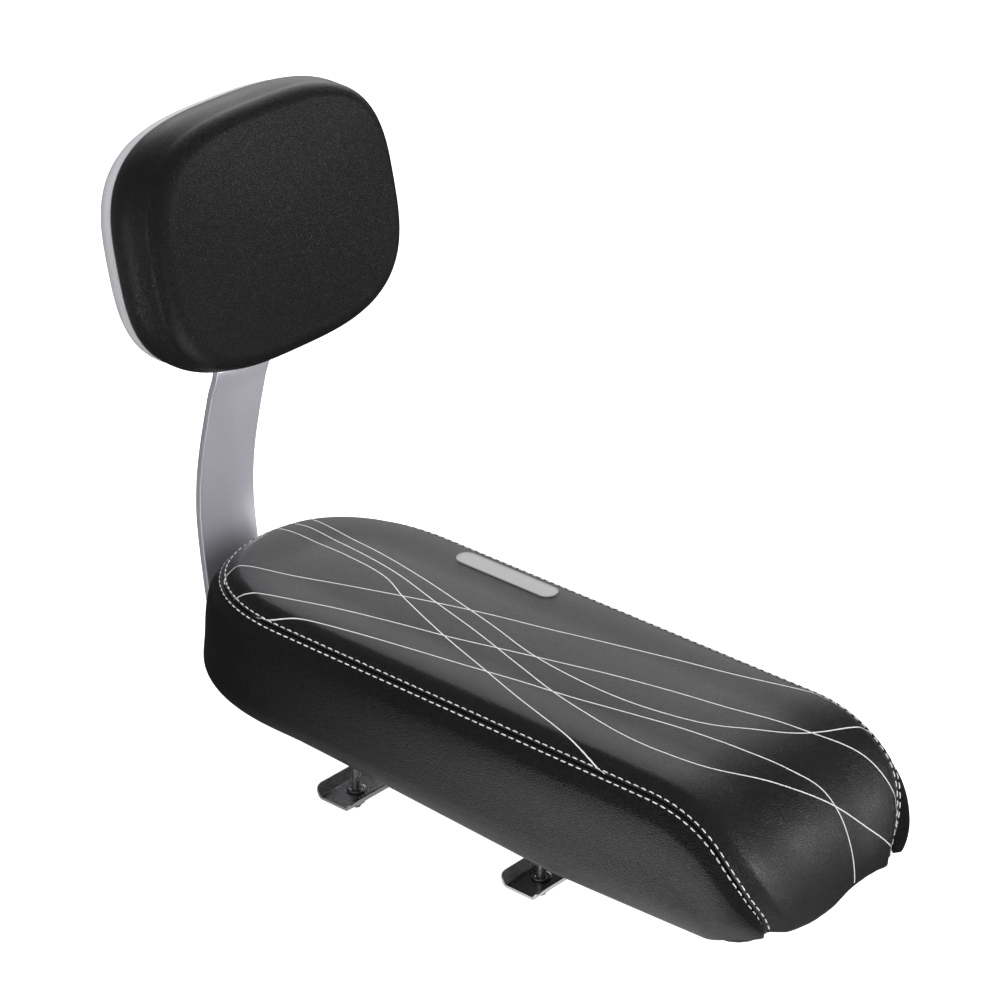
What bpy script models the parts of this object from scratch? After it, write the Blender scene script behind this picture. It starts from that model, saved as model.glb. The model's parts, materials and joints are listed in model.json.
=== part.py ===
"""Seat cushion with a backrest for the carrier over a bicycle's rear wheel.

A sewn cushion on a moulded board is held down on the carrier by two folded channels and four bolts.
A bent flat bar, bolted under the board, carries a padded backrest with a moulded shell behind it.

Units are metres. +X points forward, +Y to the rider's left and +Z up. The origin is in the middle of
the cushion's underside, the flat face that lies on the carrier.
"""
import math

import bmesh
import bpy
import numpy as np
from mathutils import Matrix

# Clearance
GAP = 0.0003                 # between two pieces that touch

# Cushion: its seam line in plan and its side view
SEAT_LENGTH = 0.380          # from the rear of the seam to the front face
SEAT_WIDTH = 0.131           # between the two long seams
SEAM_HEIGHT = 0.064          # of the seam over the underside
CROWN = 0.0045               # rise of the top panel's middle over the seam
CROWN_POWER = 0.8            # 1 is a parabola, less is flatter with rounder edges
REAR_ROUND = 0.080           # length of the rounded rear end
REAR_POWER = 2.3             # 2 is an ellipse, more is squarer
ROLL_LENGTH = 0.062          # run of the rolled front
ROLL_POWER = 2.2
CORNER_RADIUS = 0.016        # front corners in plan
SIDE_BULGE = 0.0065          # how far the side band stands outside the seam
REAR_BULGE = 0.0117          # the same at the rear
BULGE_RISE = 2.2             # how soon below the seam the side reaches its fullest
HEM_HEIGHT = 0.016           # below this the cover rounds in under the board
HEM_TUCK_REAR = 0.0115       # how far it rounds in at the rear,
HEM_TUCK_MIDDLE = 0.0020     # at its widest place
HEM_TUCK_FRONT = 0.0070      # and at the front corners
HEM_REAR_X = -0.100          # the rear's tuck is reached here,
HEM_MIDDLE_X = 0.075         # and this is the widest place
BAND_END_HEIGHT = 0.005      # height of the side band where it meets the front's lower edge
COVER_THICKNESS = 0.0012
LINER_THICKNESS = 0.0012
LINER_INSET = 0.003          # of the liner's edge from the board's
SEAT_BOARD_THICKNESS = 0.008

# Badge on the top panel, left bare
BADGE_LENGTH = 0.066
BADGE_WIDTH = 0.012
BADGE_THICKNESS = 0.0005
BADGE_X = -0.057
BADGE_Y = 0.0468

# Clamps under the cushion
CLAMP_REAR_X = -0.087
CLAMP_FRONT_X = 0.039
CLAMP_LENGTH = 0.106         # across the carrier
CLAMP_WEB_WIDTH = 0.019
CLAMP_FLANGE_HEIGHT = 0.0055
CLAMP_FLANGE_LEAN = 0.0028   # outward run of a flange over its height
CLAMP_SHEET = 0.0015
CLAMP_FOLD = 0.0012          # chamfer between web and flange
CLAMP_DROP = 0.034           # from the underside to the web's top face
CLAMP_BOLT_SPREAD = 0.072    # between a channel's two bolts
CLAMP_SLOT_LENGTH = 0.009
STUD_RADIUS = 0.0025         # M5
STUD_END = 0.0025            # of the bolt past its nut
STUD_CHAMFER = 0.0004
STUD_HEAD_RADIUS = 0.006
STUD_HEAD_HEIGHT = 0.003
STUD_HOLE_SLACK = 0.0004     # on the radius
SMALL_WASHER_RADIUS = 0.005
SMALL_WASHER_THICKNESS = 0.001
SMALL_NUT_FLATS = 0.008
SMALL_NUT_HEIGHT = 0.004

# Flat bar
BAR_WIDTH = 0.040
BAR_THICKNESS = 0.004
BAR_EDGE_ROUND = 0.0008
BAR_LEG_FRONT = -0.066       # front end of the leg under the cushion
BAR_BEND_RADIUS = 0.017      # of the lower bend, at mid-thickness
BAR_STAND_OFF = 0.0050       # from the cushion's rear to the bar's mid-thickness
BAR_LEAN = 0.0065            # how far the bar leans back of its foot
BAR_LEAN_HEIGHT = 0.080
BAR_KNEE_FORWARD = 0.0098    # how far the knee comes forward of the foot
BAR_KNEE_HEIGHT = 0.163
BAR_SETTLE = (0.2, 0.7)      # share of the lean still to go, at this share of its height
BAR_CLIMB = ((0.16, 0.32), (0.70, 0.80), (1.0, 1.0))   # from lean to knee: shares forward and up
BAR_TOP_REACH = 0.046        # of the bar's top over the middle of the backrest
BAR_BOLT_X = (-0.155, -0.115)
BAR_BOLT_RADIUS = 0.003      # M6
BOLT_HOLE_SLACK = 0.0005     # on the radius
BOLT_HEAD_RADIUS = 0.0055
BOLT_HEAD_HEIGHT = 0.0035
BOLT_HEAD_RIM = 0.0008       # straight rim under the dome
WASHER_RADIUS = 0.0065
WASHER_THICKNESS = 0.0012
TNUT_FLANGE_RADIUS = 0.009
TNUT_FLANGE_THICKNESS = 0.0012
TNUT_BARREL_RADIUS = 0.0042
POCKET_SLACK = 0.0015        # of the foam's pockets around what they hold

# Backrest
RECLINE = math.radians(12.0)
BACK_CENTRE_X = -0.196       # middle of the plane where pad and shell meet
BACK_CENTRE_Z = 0.2405
BACK_WIDTH = 0.169
BACK_HEIGHT = 0.130
BACK_POWER = 3.05            # of the rounded outline
PAD_WALL = 0.025             # depth of the pad's side before it rounds over
PAD_BULGE = 0.0012
PAD_ROUND = 0.009            # of the pad's front edge
PAD_CROWN = 0.0030
BACK_BOARD_THICKNESS = 0.006
SHELL_DEPTH = 0.015
SHELL_WALL = 0.0025
SHELL_ROUND = 0.006
BACK_BOLT_SPREAD = 0.044     # between the two bolts that hold the bar
BOSS_RADIUS = 0.0075
SHELL_SCREW_INSET = 0.0265   # from the pad's sides, and from its top and bottom
SHELL_SCREW_RADIUS = 0.00175
SHELL_SCREW_HEAD_RADIUS = 0.0035
SHELL_SCREW_HEAD_HEIGHT = 0.002
SHELL_SCREW_BITE = 0.004     # of the screw in the board
SHELL_SCREW_POINT = 0.001
SHELL_BOSS_RADIUS = 0.0045

# Fineness of the solids
REAR_STEPS = 9
REAR_FIRST_DEGREES = 6.0     # the rearmost line is a short one, so that the seam closes there
STRAIGHT_STEPS = 4
ROLL_STEPS = 9
ACROSS_STEPS = 10
BAND_STEPS = 6
HEM_STEPS = 2
BACK_AROUND = 44
TURN_STEPS = 12

PART = "rack_seat"

for old in list(bpy.data.objects):
    bpy.data.objects.remove(old, do_unlink=True)
PARTS = bpy.data.collections.new(PART)
CUTTERS = bpy.data.collections.new(PART + "_cutters")
bpy.context.scene.collection.children.link(PARTS)
bpy.context.scene.collection.children.link(CUTTERS)


def material(name, colour, roughness, metallic=0.0):
    """A plain Principled material."""
    made = bpy.data.materials.new(name)
    made.use_nodes = True
    shader = made.node_tree.nodes["Principled BSDF"]
    shader.inputs["Base Color"].default_value = (*colour, 1.0)
    shader.inputs["Roughness"].default_value = roughness
    shader.inputs["Metallic"].default_value = metallic
    return made


LEATHER = material("black_pu_leather", (0.020, 0.020, 0.019), 0.42)
FOAM = material("grey_foam", (0.35, 0.35, 0.33), 0.95)
BOARD = material("black_polypropylene", (0.030, 0.030, 0.032), 0.55)
LINER = material("black_felt_liner", (0.015, 0.015, 0.016), 0.95)
BADGE = material("silver_foil", (0.50, 0.50, 0.51), 0.30, 0.9)
PAINTED_STEEL = material("silver_painted_steel", (0.52, 0.51, 0.60), 0.38, 0.3)
PLATED_STEEL = material("plated_steel", (0.55, 0.55, 0.54), 0.25, 1.0)
WHITE_PLASTIC = material("white_moulded_plastic", (0.78, 0.79, 0.81), 0.35)


def into_scene(name, mesh, look, matrix=None):
    """Links a mesh into the part as a named object."""
    made = bpy.data.objects.new(name, mesh)
    made.data.materials.clear()
    made.data.materials.append(look)
    if matrix is not None:
        made.matrix_world = matrix
    PARTS.objects.link(made)
    return made


def mesh_from(name, points, faces):
    """A mesh from an array of points and lists of their numbers, with its doubles merged."""
    mesh = bpy.data.meshes.new(name)
    mesh.from_pydata([tuple(point) for point in points], [], faces)
    work = bmesh.new()
    work.from_mesh(mesh)
    bmesh.ops.remove_doubles(work, verts=work.verts, dist=1e-6)
    bmesh.ops.recalc_face_normals(work, faces=work.faces)
    work.to_mesh(mesh)
    work.free()
    return mesh


def smooth(made, degrees=35.0):
    """Shades a round piece smooth, with its sharp edges kept."""
    made.data.shade_smooth()
    made.data.set_sharp_from_angle(angle=math.radians(degrees))
    return made


def grid_faces(rows, columns, start=0):
    """Quads of a grid of points that are numbered along its rows."""
    return [(start + r * columns + c, start + r * columns + c + 1,
             start + (r + 1) * columns + c + 1, start + (r + 1) * columns + c)
            for r in range(rows - 1) for c in range(columns - 1)]


def solidify(made, thickness, offset):
    """Gives an open surface its thickness."""
    wall = made.modifiers.new("wall", 'SOLIDIFY')
    wall.thickness = thickness
    wall.offset = offset
    wall.use_even_offset = True
    return wall


def as_cutter(made):
    """Keeps a cutting shape out of the part and of the render."""
    PARTS.objects.unlink(made)
    CUTTERS.objects.link(made)
    made.hide_render = True
    made.display_type = 'WIRE'
    return made


def boolean(made, cutter, operation='DIFFERENCE'):
    """Cuts a shape from a piece, or adds it."""
    step = made.modifiers.new(operation.lower(), 'BOOLEAN')
    step.operation = operation
    step.solver = 'EXACT'
    step.object = cutter


def cylinder(name, radius, low, high, look=PLATED_STEEL, frame=None, sides=TURN_STEPS):
    """A cylinder or prism along the frame's local Z, from low to high."""
    mesh = bpy.data.meshes.new(name)
    work = bmesh.new()
    middle = Matrix.Translation((0.0, 0.0, (low + high) / 2.0))
    bmesh.ops.create_cone(work, cap_ends=True, segments=sides, radius1=radius, radius2=radius,
                          depth=high - low, matrix=middle)
    work.to_mesh(mesh)
    work.free()
    return into_scene(name, mesh, look, frame)


def turned(name, profile, look=PLATED_STEEL, frame=None, closed=False, sides=TURN_STEPS):
    """A turned piece: a profile of radius and height, carried once round the frame's local Z."""
    mesh = bpy.data.meshes.new(name)
    count = len(profile)
    edges = [(i, (i + 1) % count) for i in range(count if closed else count - 1)]
    mesh.from_pydata([(radius, 0.0, height) for radius, height in profile], edges, [])
    made = into_scene(name, mesh, look, frame)
    turn = made.modifiers.new("turn", 'SCREW')
    turn.axis = 'Z'
    turn.angle = math.tau
    turn.steps = sides
    turn.render_steps = sides
    turn.use_merge_vertices = True
    turn.merge_threshold = 1e-5
    turn.use_smooth_shade = False
    return made


def ring(name, inner, outer, low, high, look=PLATED_STEEL, frame=None):
    """A washer or sleeve, from its inner to its outer radius."""
    profile = [(outer, high), (outer, low), (inner, low), (inner, high)]
    return turned(name, profile, look, frame, closed=True)


def superellipse(half_x, half_y, power, count, start=0.0):
    """Points round a rounded oblong, as an array of two columns."""
    angle = start + np.linspace(0.0, math.tau, count, endpoint=False)
    cosine, sine = np.cos(angle), np.sin(angle)
    return np.c_[half_x * np.sign(cosine) * np.abs(cosine) ** (2.0 / power),
                 half_y * np.sign(sine) * np.abs(sine) ** (2.0 / power)]


# Cushion surfaces

SKIN = COVER_THICKNESS + GAP          # from the cover's outer face to what it covers
REAR_X = -SEAT_LENGTH / 2.0
FRONT_X = SEAT_LENGTH / 2.0
BOARD_LOW = LINER_THICKNESS + GAP
BOARD_TOP = BOARD_LOW + SEAT_BOARD_THICKNESS
FOAM_LOW = BOARD_TOP + GAP


def roll_height(x):
    """Height of the seam at each x: level, then falling over the rolled front."""
    run = np.clip((x - (FRONT_X - ROLL_LENGTH)) / ROLL_LENGTH, 0.0, 1.0)
    return SEAM_HEIGHT * (1.0 - run ** ROLL_POWER) ** (1.0 / ROLL_POWER)


def half_width(x):
    """Distance of the seam from the middle line at each x."""
    rear = np.clip((REAR_X + REAR_ROUND - x) / REAR_ROUND, 0.0, 1.0)
    into_corner = np.clip(x - (FRONT_X - CORNER_RADIUS), 0.0, CORNER_RADIUS)
    rounded = SEAT_WIDTH / 2.0 * (1.0 - rear ** REAR_POWER) ** (1.0 / REAR_POWER)
    return rounded - CORNER_RADIUS + np.sqrt(CORNER_RADIUS ** 2 - into_corner ** 2)


def stations(lowest):
    """x of the lines across the cushion, closer where it turns, down to a height of the front.

    Every piece of the cushion takes these same lines, so that their facets stay parallel.
    """
    rear = np.radians(np.linspace(REAR_FIRST_DEGREES, 90.0, REAR_STEPS + 1))
    rear_x = REAR_X + REAR_ROUND * (1.0 - np.cos(rear) ** (2.0 / REAR_POWER))
    roll_start = FRONT_X - ROLL_LENGTH
    straight_x = np.linspace(rear_x[-1], roll_start, STRAIGHT_STEPS + 1)[1:]
    foam_end, band_end = (math.acos((height / SEAM_HEIGHT) ** (ROLL_POWER / 2.0))
                          for height in (FOAM_LOW, BAND_END_HEIGHT))
    roll = np.r_[np.linspace(0.0, foam_end, ROLL_STEPS + 1)[1:], band_end, math.pi / 2.0]
    heights = SEAM_HEIGHT * np.abs(np.cos(roll)) ** (2.0 / ROLL_POWER)
    roll = roll[heights > lowest - 1e-6]
    return np.r_[rear_x, straight_x, roll_start + ROLL_LENGTH * np.sin(roll) ** (2.0 / ROLL_POWER)]


def top_surface(x):
    """The top panel's outer face: one row for each x, from the right seam to the left one."""
    across = np.sin(np.linspace(-math.pi / 2.0, math.pi / 2.0, ACROSS_STEPS + 1))
    half = half_width(x)[:, None]
    rise = CROWN * np.minimum(half / (SEAT_WIDTH / 2.0), 1.0) * (1.0 - across ** 2) ** CROWN_POWER
    level = np.ones_like(across)
    points = np.stack([x[:, None] * level, half * across, roll_height(x)[:, None] * level], 2)
    lift = outward(seam_curve_normals(x))
    return points + rise[:, :, None] * lift[:, None, :]


def seam_curve_normals(x):
    """Unit normals of the side view's curve, as x and z."""
    run = np.clip((x - (FRONT_X - ROLL_LENGTH)) / ROLL_LENGTH, 0.0, 1.0)
    rise = roll_height(x) / SEAM_HEIGHT
    normal_x = run ** (ROLL_POWER - 1.0) / ROLL_LENGTH
    normal_z = rise ** (ROLL_POWER - 1.0) / SEAM_HEIGHT
    size = np.hypot(normal_x, normal_z)
    return np.c_[normal_x / size, normal_z / size]


def outward(normals):
    """Side-view normals as vectors in space."""
    return np.c_[normals[:, 0], np.zeros(len(normals)), normals[:, 1]]


def plan_normals(x):
    """Unit normals of the seam's left half in plan, as x and y."""
    rear = np.clip((REAR_X + REAR_ROUND - x) / REAR_ROUND, 0.0, 1.0)
    width = np.clip(half_width(x) / (SEAT_WIDTH / 2.0), 1e-6, 1.0)
    corner = np.clip((x - (FRONT_X - CORNER_RADIUS)) / CORNER_RADIUS, 0.0, 1.0)
    normal_x = np.where(rear > 0.0, -rear ** (REAR_POWER - 1.0) / REAR_ROUND, corner)
    normal_y = np.where(rear > 0.0, width ** (REAR_POWER - 1.0) / (SEAT_WIDTH / 2.0),
                        np.sqrt(1.0 - corner ** 2))
    size = np.hypot(normal_x, normal_y)
    return np.c_[normal_x / size, normal_y / size]


def bulge(share, full, normal):
    """How far the side stands out at a share of its full height below the seam."""
    rear = np.clip(-normal[:, :1], 0.0, 1.0)
    most = SIDE_BULGE + (REAR_BULGE - SIDE_BULGE) * rear
    return most * full / SEAM_HEIGHT * (1.0 - (1.0 - share) ** BULGE_RISE)


def hem_tuck(x, z, full):
    """How far the lower edge rounds in under the board: a parabola over the hem's height."""
    most = np.interp(x, (HEM_REAR_X, HEM_MIDDLE_X, FRONT_X),
                     (HEM_TUCK_REAR, HEM_TUCK_MIDDLE, HEM_TUCK_FRONT))
    height = np.minimum(HEM_HEIGHT, full / 2.0)
    return most[:, None] * full / SEAM_HEIGHT * np.clip(1.0 - z / height, 0.0, 1.0) ** 2


def side_surface(x, inward):
    """The side's left half, moved in by a distance: a row for each x, from the seam down to the underside.

    Row BAND_STEPS is level with the foam's underside, and the rows after it are the hem.
    """
    drop = SKIN * outward(seam_curve_normals(x))
    normal = plan_normals(x)
    share = np.linspace(0.0, 1.0, BAND_STEPS + 1)
    top = roll_height(x) - drop[:, 2]
    low = np.minimum(FOAM_LOW, top / 2.0)
    z = top[:, None] + (low - top)[:, None] * share
    z = np.c_[z, low[:, None] * np.linspace(1.0, 0.0, HEM_STEPS + 1)[1:]]
    full = roll_height(x)[:, None]
    below = np.clip(1.0 - z / full, 0.0, 1.0)
    out = bulge(below, full, normal) - hem_tuck(x, z, full) - inward
    return np.stack([(x - drop[:, 0])[:, None] + out * normal[:, :1],
                     half_width(x)[:, None] + out * normal[:, 1:],
                     z], 2)


def both_sides(left):
    """Rows of the left half and their mirror, in one run from the right front round the rear."""
    right = left[::-1] * np.array([1.0, -1.0, 1.0])
    return np.concatenate([right, left])


def seat_top_panel():
    """Top panel: one leather piece over the cushion and down its front."""
    grid = top_surface(stations(0.0))
    made = into_scene("seat_top_panel", mesh_from("seat_top_panel", grid.reshape(-1, 3),
                                                  grid_faces(*grid.shape[:2])), LEATHER)
    solidify(made, COVER_THICKNESS, -1.0)
    return smooth(made)


def seat_side_band():
    """Side band: one leather strip round both sides and the rear."""
    grid = both_sides(side_surface(stations(BAND_END_HEIGHT), 0.0))
    made = into_scene("seat_side_band", mesh_from("seat_side_band", grid.reshape(-1, 3),
                                                  grid_faces(*grid.shape[:2])), LEATHER)
    solidify(made, COVER_THICKNESS, -1.0)
    return smooth(made)


def seat_foam():
    """Foam block under the cover, standing on the board."""
    x = stations(FOAM_LOW)
    top = top_surface(x) - SKIN * outward(seam_curve_normals(x))[:, None, :]
    beside = plan_normals(x)
    near_edge = (top[:, :, 1] / half_width(x)[:, None]) ** 2
    near_edge[0] = 1.0
    top[:, :, 0] -= SKIN * beside[:, :1] * near_edge
    top[:, :, 1] *= (1.0 - SKIN * beside[:, 1] / half_width(x))[:, None]
    top[-1, :, 2] = FOAM_LOW
    side = side_surface(x, SKIN)[:, :BAND_STEPS + 1]
    side[:, -1, 2] = FOAM_LOW
    side[:, 0] = top[:, -1]
    side[-1, :] = top[-1, -1]
    walls = both_sides(side)
    rows, columns = top.shape[:2]
    start = rows * columns
    depth = walls.shape[1]
    faces = grid_faces(rows, columns) + grid_faces(*walls.shape[:2], start)
    faces.append(tuple(range(columns)))
    front = [(rows - 1) * columns + c for c in range(columns - 2, 0, -1)]
    faces.append(tuple([start + (r + 1) * depth - 1 for r in range(len(walls))] + front))
    points = np.concatenate([top.reshape(-1, 3), walls.reshape(-1, 3)])
    return smooth(into_scene("seat_foam", mesh_from("seat_foam", points, faces), FOAM))


def flat_solid(name, outline, low, high, look):
    """A flat plate: a filled outline given its thickness."""
    outline = np.array(outline)
    after = np.roll(outline, -1, 0)
    doubled_area = (outline[:, 0] * after[:, 1] - outline[:, 1] * after[:, 0]).sum()
    if doubled_area < 0.0:
        outline = outline[::-1]
    mesh = bpy.data.meshes.new(name)
    mesh.from_pydata([(x, y, low) for x, y in outline], [], [tuple(range(len(outline)))])
    made = into_scene(name, mesh, look)
    solidify(made, high - low, 1.0)
    return made


def board_outline(inset):
    """Plan of the board: inside the lower edge of the side band and behind the front's cover."""
    x = stations(BAND_END_HEIGHT)
    left = side_surface(x, SKIN + GAP + inset)[:, -1, :2]
    left[:, 0] = np.minimum(left[:, 0], FRONT_X - SKIN - 2.0 * GAP - inset)
    return both_sides(np.c_[left, np.zeros(len(left))])[:, :2]


def seat_board():
    """Moulded board that carries the foam, the bolts and the bar."""
    return flat_solid("seat_board", board_outline(0.0), BOARD_LOW, BOARD_TOP, BOARD)


def seat_liner():
    """Felt liner under the board, the face that lies on the carrier."""
    return flat_solid("seat_bottom_liner", board_outline(LINER_INSET), 0.0, LINER_THICKNESS, LINER)


def seat_badge():
    """Bare stadium badge, bent to the top panel."""
    radius = BADGE_WIDTH / 2.0
    rows = np.sin(np.linspace(-math.pi / 2.0, math.pi / 2.0, 9)) * radius
    reach = BADGE_LENGTH / 2.0 - radius + np.sqrt(np.maximum(radius ** 2 - rows ** 2, 1e-10))
    along = np.linspace(-1.0, 1.0, 5)
    y = BADGE_Y + rows[:, None] + 0.0 * along
    x = BADGE_X + reach[:, None] * along
    across = y / (SEAT_WIDTH / 2.0)
    z = SEAM_HEIGHT + CROWN * (1.0 - across ** 2) ** CROWN_POWER + 2.0 * GAP
    grid = np.stack([x, y, z], 2)
    made = into_scene("seat_badge", mesh_from("seat_badge", grid.reshape(-1, 3),
                                              grid_faces(*grid.shape[:2])), BADGE)
    solidify(made, BADGE_THICKNESS, 1.0)
    return made


# Clamps

WEB_TOP = -CLAMP_DROP
WEB_LOW = WEB_TOP - CLAMP_SHEET
NUT_TOP = WEB_LOW - SMALL_WASHER_THICKNESS - 2.0 * GAP
STUD_LOW = NUT_TOP - SMALL_NUT_HEIGHT - STUD_END


def clamp_channel(name, x):
    """Folded channel across the carrier, open upwards, with a slot for each bolt."""
    half = CLAMP_WEB_WIDTH / 2.0
    lean = CLAMP_FLANGE_LEAN * CLAMP_FOLD / CLAMP_FLANGE_HEIGHT
    right = [(half - CLAMP_FOLD, 0.0), (half + lean, CLAMP_FOLD),
             (half + CLAMP_FLANGE_LEAN, CLAMP_FLANGE_HEIGHT)]
    profile = [(-px, pz) for px, pz in reversed(right)] + right
    points = [(x + px, side * CLAMP_LENGTH / 2.0, WEB_TOP + pz) for side in (-1, 1) for px, pz in profile]
    count = len(profile)
    mesh = bpy.data.meshes.new(name)
    mesh.from_pydata(points, [], [(i, i + 1, count + i + 1, count + i) for i in range(count - 1)])
    made = into_scene(name, mesh, PLATED_STEEL)
    solidify(made, CLAMP_SHEET, -1.0)
    for side in (-1, 1):
        slot = slot_cutter(name + "_slot", x, side * CLAMP_BOLT_SPREAD / 2.0)
        boolean(made, slot)
    return made


def slot_cutter(name, x, y):
    """Cutter of a slot that runs across the carrier."""
    radius = STUD_RADIUS + STUD_HOLE_SLACK
    half = CLAMP_SLOT_LENGTH / 2.0 - radius
    turn = np.linspace(0.0, math.pi, 9)
    ends = [np.c_[radius * np.cos(turn), half + radius * np.sin(turn)],
            np.c_[-radius * np.cos(turn), -half - radius * np.sin(turn)]]
    outline = np.concatenate(ends) + np.array([x, y])
    return as_cutter(flat_solid(name, outline, WEB_LOW - CLAMP_SHEET, WEB_TOP + CLAMP_SHEET, PLATED_STEEL))


def hex_nut(name, x, y, top):
    """Small hexagon nut on a bolt."""
    frame = Matrix.Translation((x, y, 0.0))
    corner = SMALL_NUT_FLATS / math.sqrt(3.0)
    made = cylinder(name, corner, top - SMALL_NUT_HEIGHT, top, frame=frame, sides=6)
    bore = as_cutter(cylinder(name + "_bore", STUD_RADIUS + GAP, top - 2.0 * SMALL_NUT_HEIGHT,
                              top + SMALL_NUT_HEIGHT, frame=frame))
    boolean(made, bore)
    return made


def clamp_bolt(name, x, y):
    """Round-headed bolt down from the board, through the channel."""
    dome = [(STUD_HEAD_RADIUS * math.sin(a), BOARD_TOP + GAP + STUD_HEAD_HEIGHT * math.cos(a))
            for a in np.radians((0.0, 35.0, 65.0, 90.0))]
    profile = dome + [(STUD_RADIUS, BOARD_TOP + GAP), (STUD_RADIUS, STUD_LOW + STUD_CHAMFER),
                      (STUD_RADIUS - STUD_CHAMFER, STUD_LOW), (0.0, STUD_LOW)]
    return smooth(turned(name, profile, frame=Matrix.Translation((x, y, 0.0))))


def clamp(where, x, board, liner, foam):
    """A clamp: its channel, and two bolts with their washers and nuts."""
    clamp_channel("clamp_channel_" + where, x)
    for side, y in (("right", -CLAMP_BOLT_SPREAD / 2.0), ("left", CLAMP_BOLT_SPREAD / 2.0)):
        tail = where + "_" + side
        frame = Matrix.Translation((x, y, 0.0))
        clamp_bolt("clamp_bolt_" + tail, x, y)
        ring("clamp_upper_washer_" + tail, STUD_RADIUS + GAP, SMALL_WASHER_RADIUS, WEB_TOP + GAP,
             WEB_TOP + GAP + SMALL_WASHER_THICKNESS, frame=frame)
        ring("clamp_lower_washer_" + tail, STUD_RADIUS + GAP, SMALL_WASHER_RADIUS,
             WEB_LOW - GAP - SMALL_WASHER_THICKNESS, WEB_LOW - GAP, frame=frame)
        hex_nut("clamp_nut_" + tail, x, y, NUT_TOP)
        hole = as_cutter(cylinder("hole_" + tail, STUD_RADIUS + STUD_HOLE_SLACK, -BOARD_TOP, 2.0 * BOARD_TOP,
                                  frame=frame))
        boolean(board, hole)
        boolean(liner, hole)
        pocket = as_cutter(cylinder("pocket_" + tail, STUD_HEAD_RADIUS + POCKET_SLACK, BOARD_LOW,
                                    FOAM_LOW + STUD_HEAD_HEIGHT + POCKET_SLACK, frame=frame))
        boolean(foam, pocket)


# Backrest frame: local X across, local Y up the backrest, local Z out of its face

def back_frame(across=0.0, up=0.0, depth=0.0):
    """A place on the backrest, turned so that local Z points out of its face."""
    turn = Matrix(((0.0, -math.sin(RECLINE), math.cos(RECLINE)),
                   (1.0, 0.0, 0.0),
                   (0.0, math.cos(RECLINE), math.sin(RECLINE)))).to_4x4()
    middle = Matrix.Translation((BACK_CENTRE_X, 0.0, BACK_CENTRE_Z))
    return middle @ turn @ Matrix.Translation((across, up, depth))


BACK_FOAM_LOW = BACK_BOARD_THICKNESS + 2.0 * GAP          # depth of the foam's rear face
BAR_DEPTH = -SHELL_DEPTH - GAP - BAR_THICKNESS / 2.0      # mid-thickness of the bar behind the pad
SCREW_ACROSS = BACK_WIDTH / 2.0 - SHELL_SCREW_INSET
SCREW_UP = BACK_HEIGHT / 2.0 - SHELL_SCREW_INSET


def back_outline(inset):
    """Points round the backrest, moved in by a distance."""
    return superellipse(BACK_WIDTH / 2.0 - inset, BACK_HEIGHT / 2.0 - inset, BACK_POWER, BACK_AROUND)


def pad_profile(inward):
    """Insets and depths of the pad's outer face, from its rear edge over its shoulder, moved in."""
    wall = [(-PAD_BULGE * math.sin(math.pi * depth / PAD_WALL), depth)
            for depth in (0.0, BACK_FOAM_LOW, (BACK_FOAM_LOW + PAD_WALL) / 2.0, PAD_WALL)]
    turn = np.radians(np.linspace(0.0, 90.0, 6))[1:]
    shoulder = [(PAD_ROUND * (1.0 - math.cos(a)), PAD_WALL + PAD_ROUND * math.sin(a)) for a in turn]
    cut = [(inset + inward, depth) for inset, depth in wall]
    round_cut = [(inset + inward * math.cos(a), depth - inward * math.sin(a))
                 for (inset, depth), a in zip(shoulder, turn)]
    return cut + round_cut


def pad_rings(inward):
    """Rings of the pad from its rear edge to the middle of its face."""
    rings = []
    for inset, depth in pad_profile(inward):
        rings.append(np.c_[back_outline(inset), np.full(BACK_AROUND, depth)])
    edge = rings[-1]
    for share in (0.80, 0.52, 0.24, 0.0):
        face = edge * np.array([share, share, 1.0])
        face[:, 2] += PAD_CROWN * (1.0 - share ** 2)
        rings.append(face)
    return np.stack(rings)


def ring_faces(rings, around):
    """Quads between closed rings of points."""
    return [(r * around + c, r * around + (c + 1) % around,
             (r + 1) * around + (c + 1) % around, (r + 1) * around + c)
            for r in range(rings - 1) for c in range(around)]


def backrest_cover():
    """Leather skin of the pad, formed in one piece."""
    rings = pad_rings(0.0)
    made = into_scene("backrest_cover", mesh_from("backrest_cover", rings.reshape(-1, 3),
                                                  ring_faces(*rings.shape[:2])), LEATHER, back_frame())
    solidify(made, COVER_THICKNESS, -1.0)
    return smooth(made)


def backrest_foam():
    """Foam of the pad, on the front of its board."""
    rings = pad_rings(SKIN)[1:]
    faces = ring_faces(*rings.shape[:2]) + [tuple(reversed(range(BACK_AROUND)))]
    mesh = mesh_from("backrest_foam", rings.reshape(-1, 3), faces)
    return smooth(into_scene("backrest_foam", mesh, FOAM, back_frame()))


def backrest_board():
    """Board of the pad, which takes the bolts and screws."""
    made = flat_solid("backrest_board", back_outline(SKIN + GAP), GAP, GAP + BACK_BOARD_THICKNESS, BOARD)
    made.matrix_world = back_frame()
    return made


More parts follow.
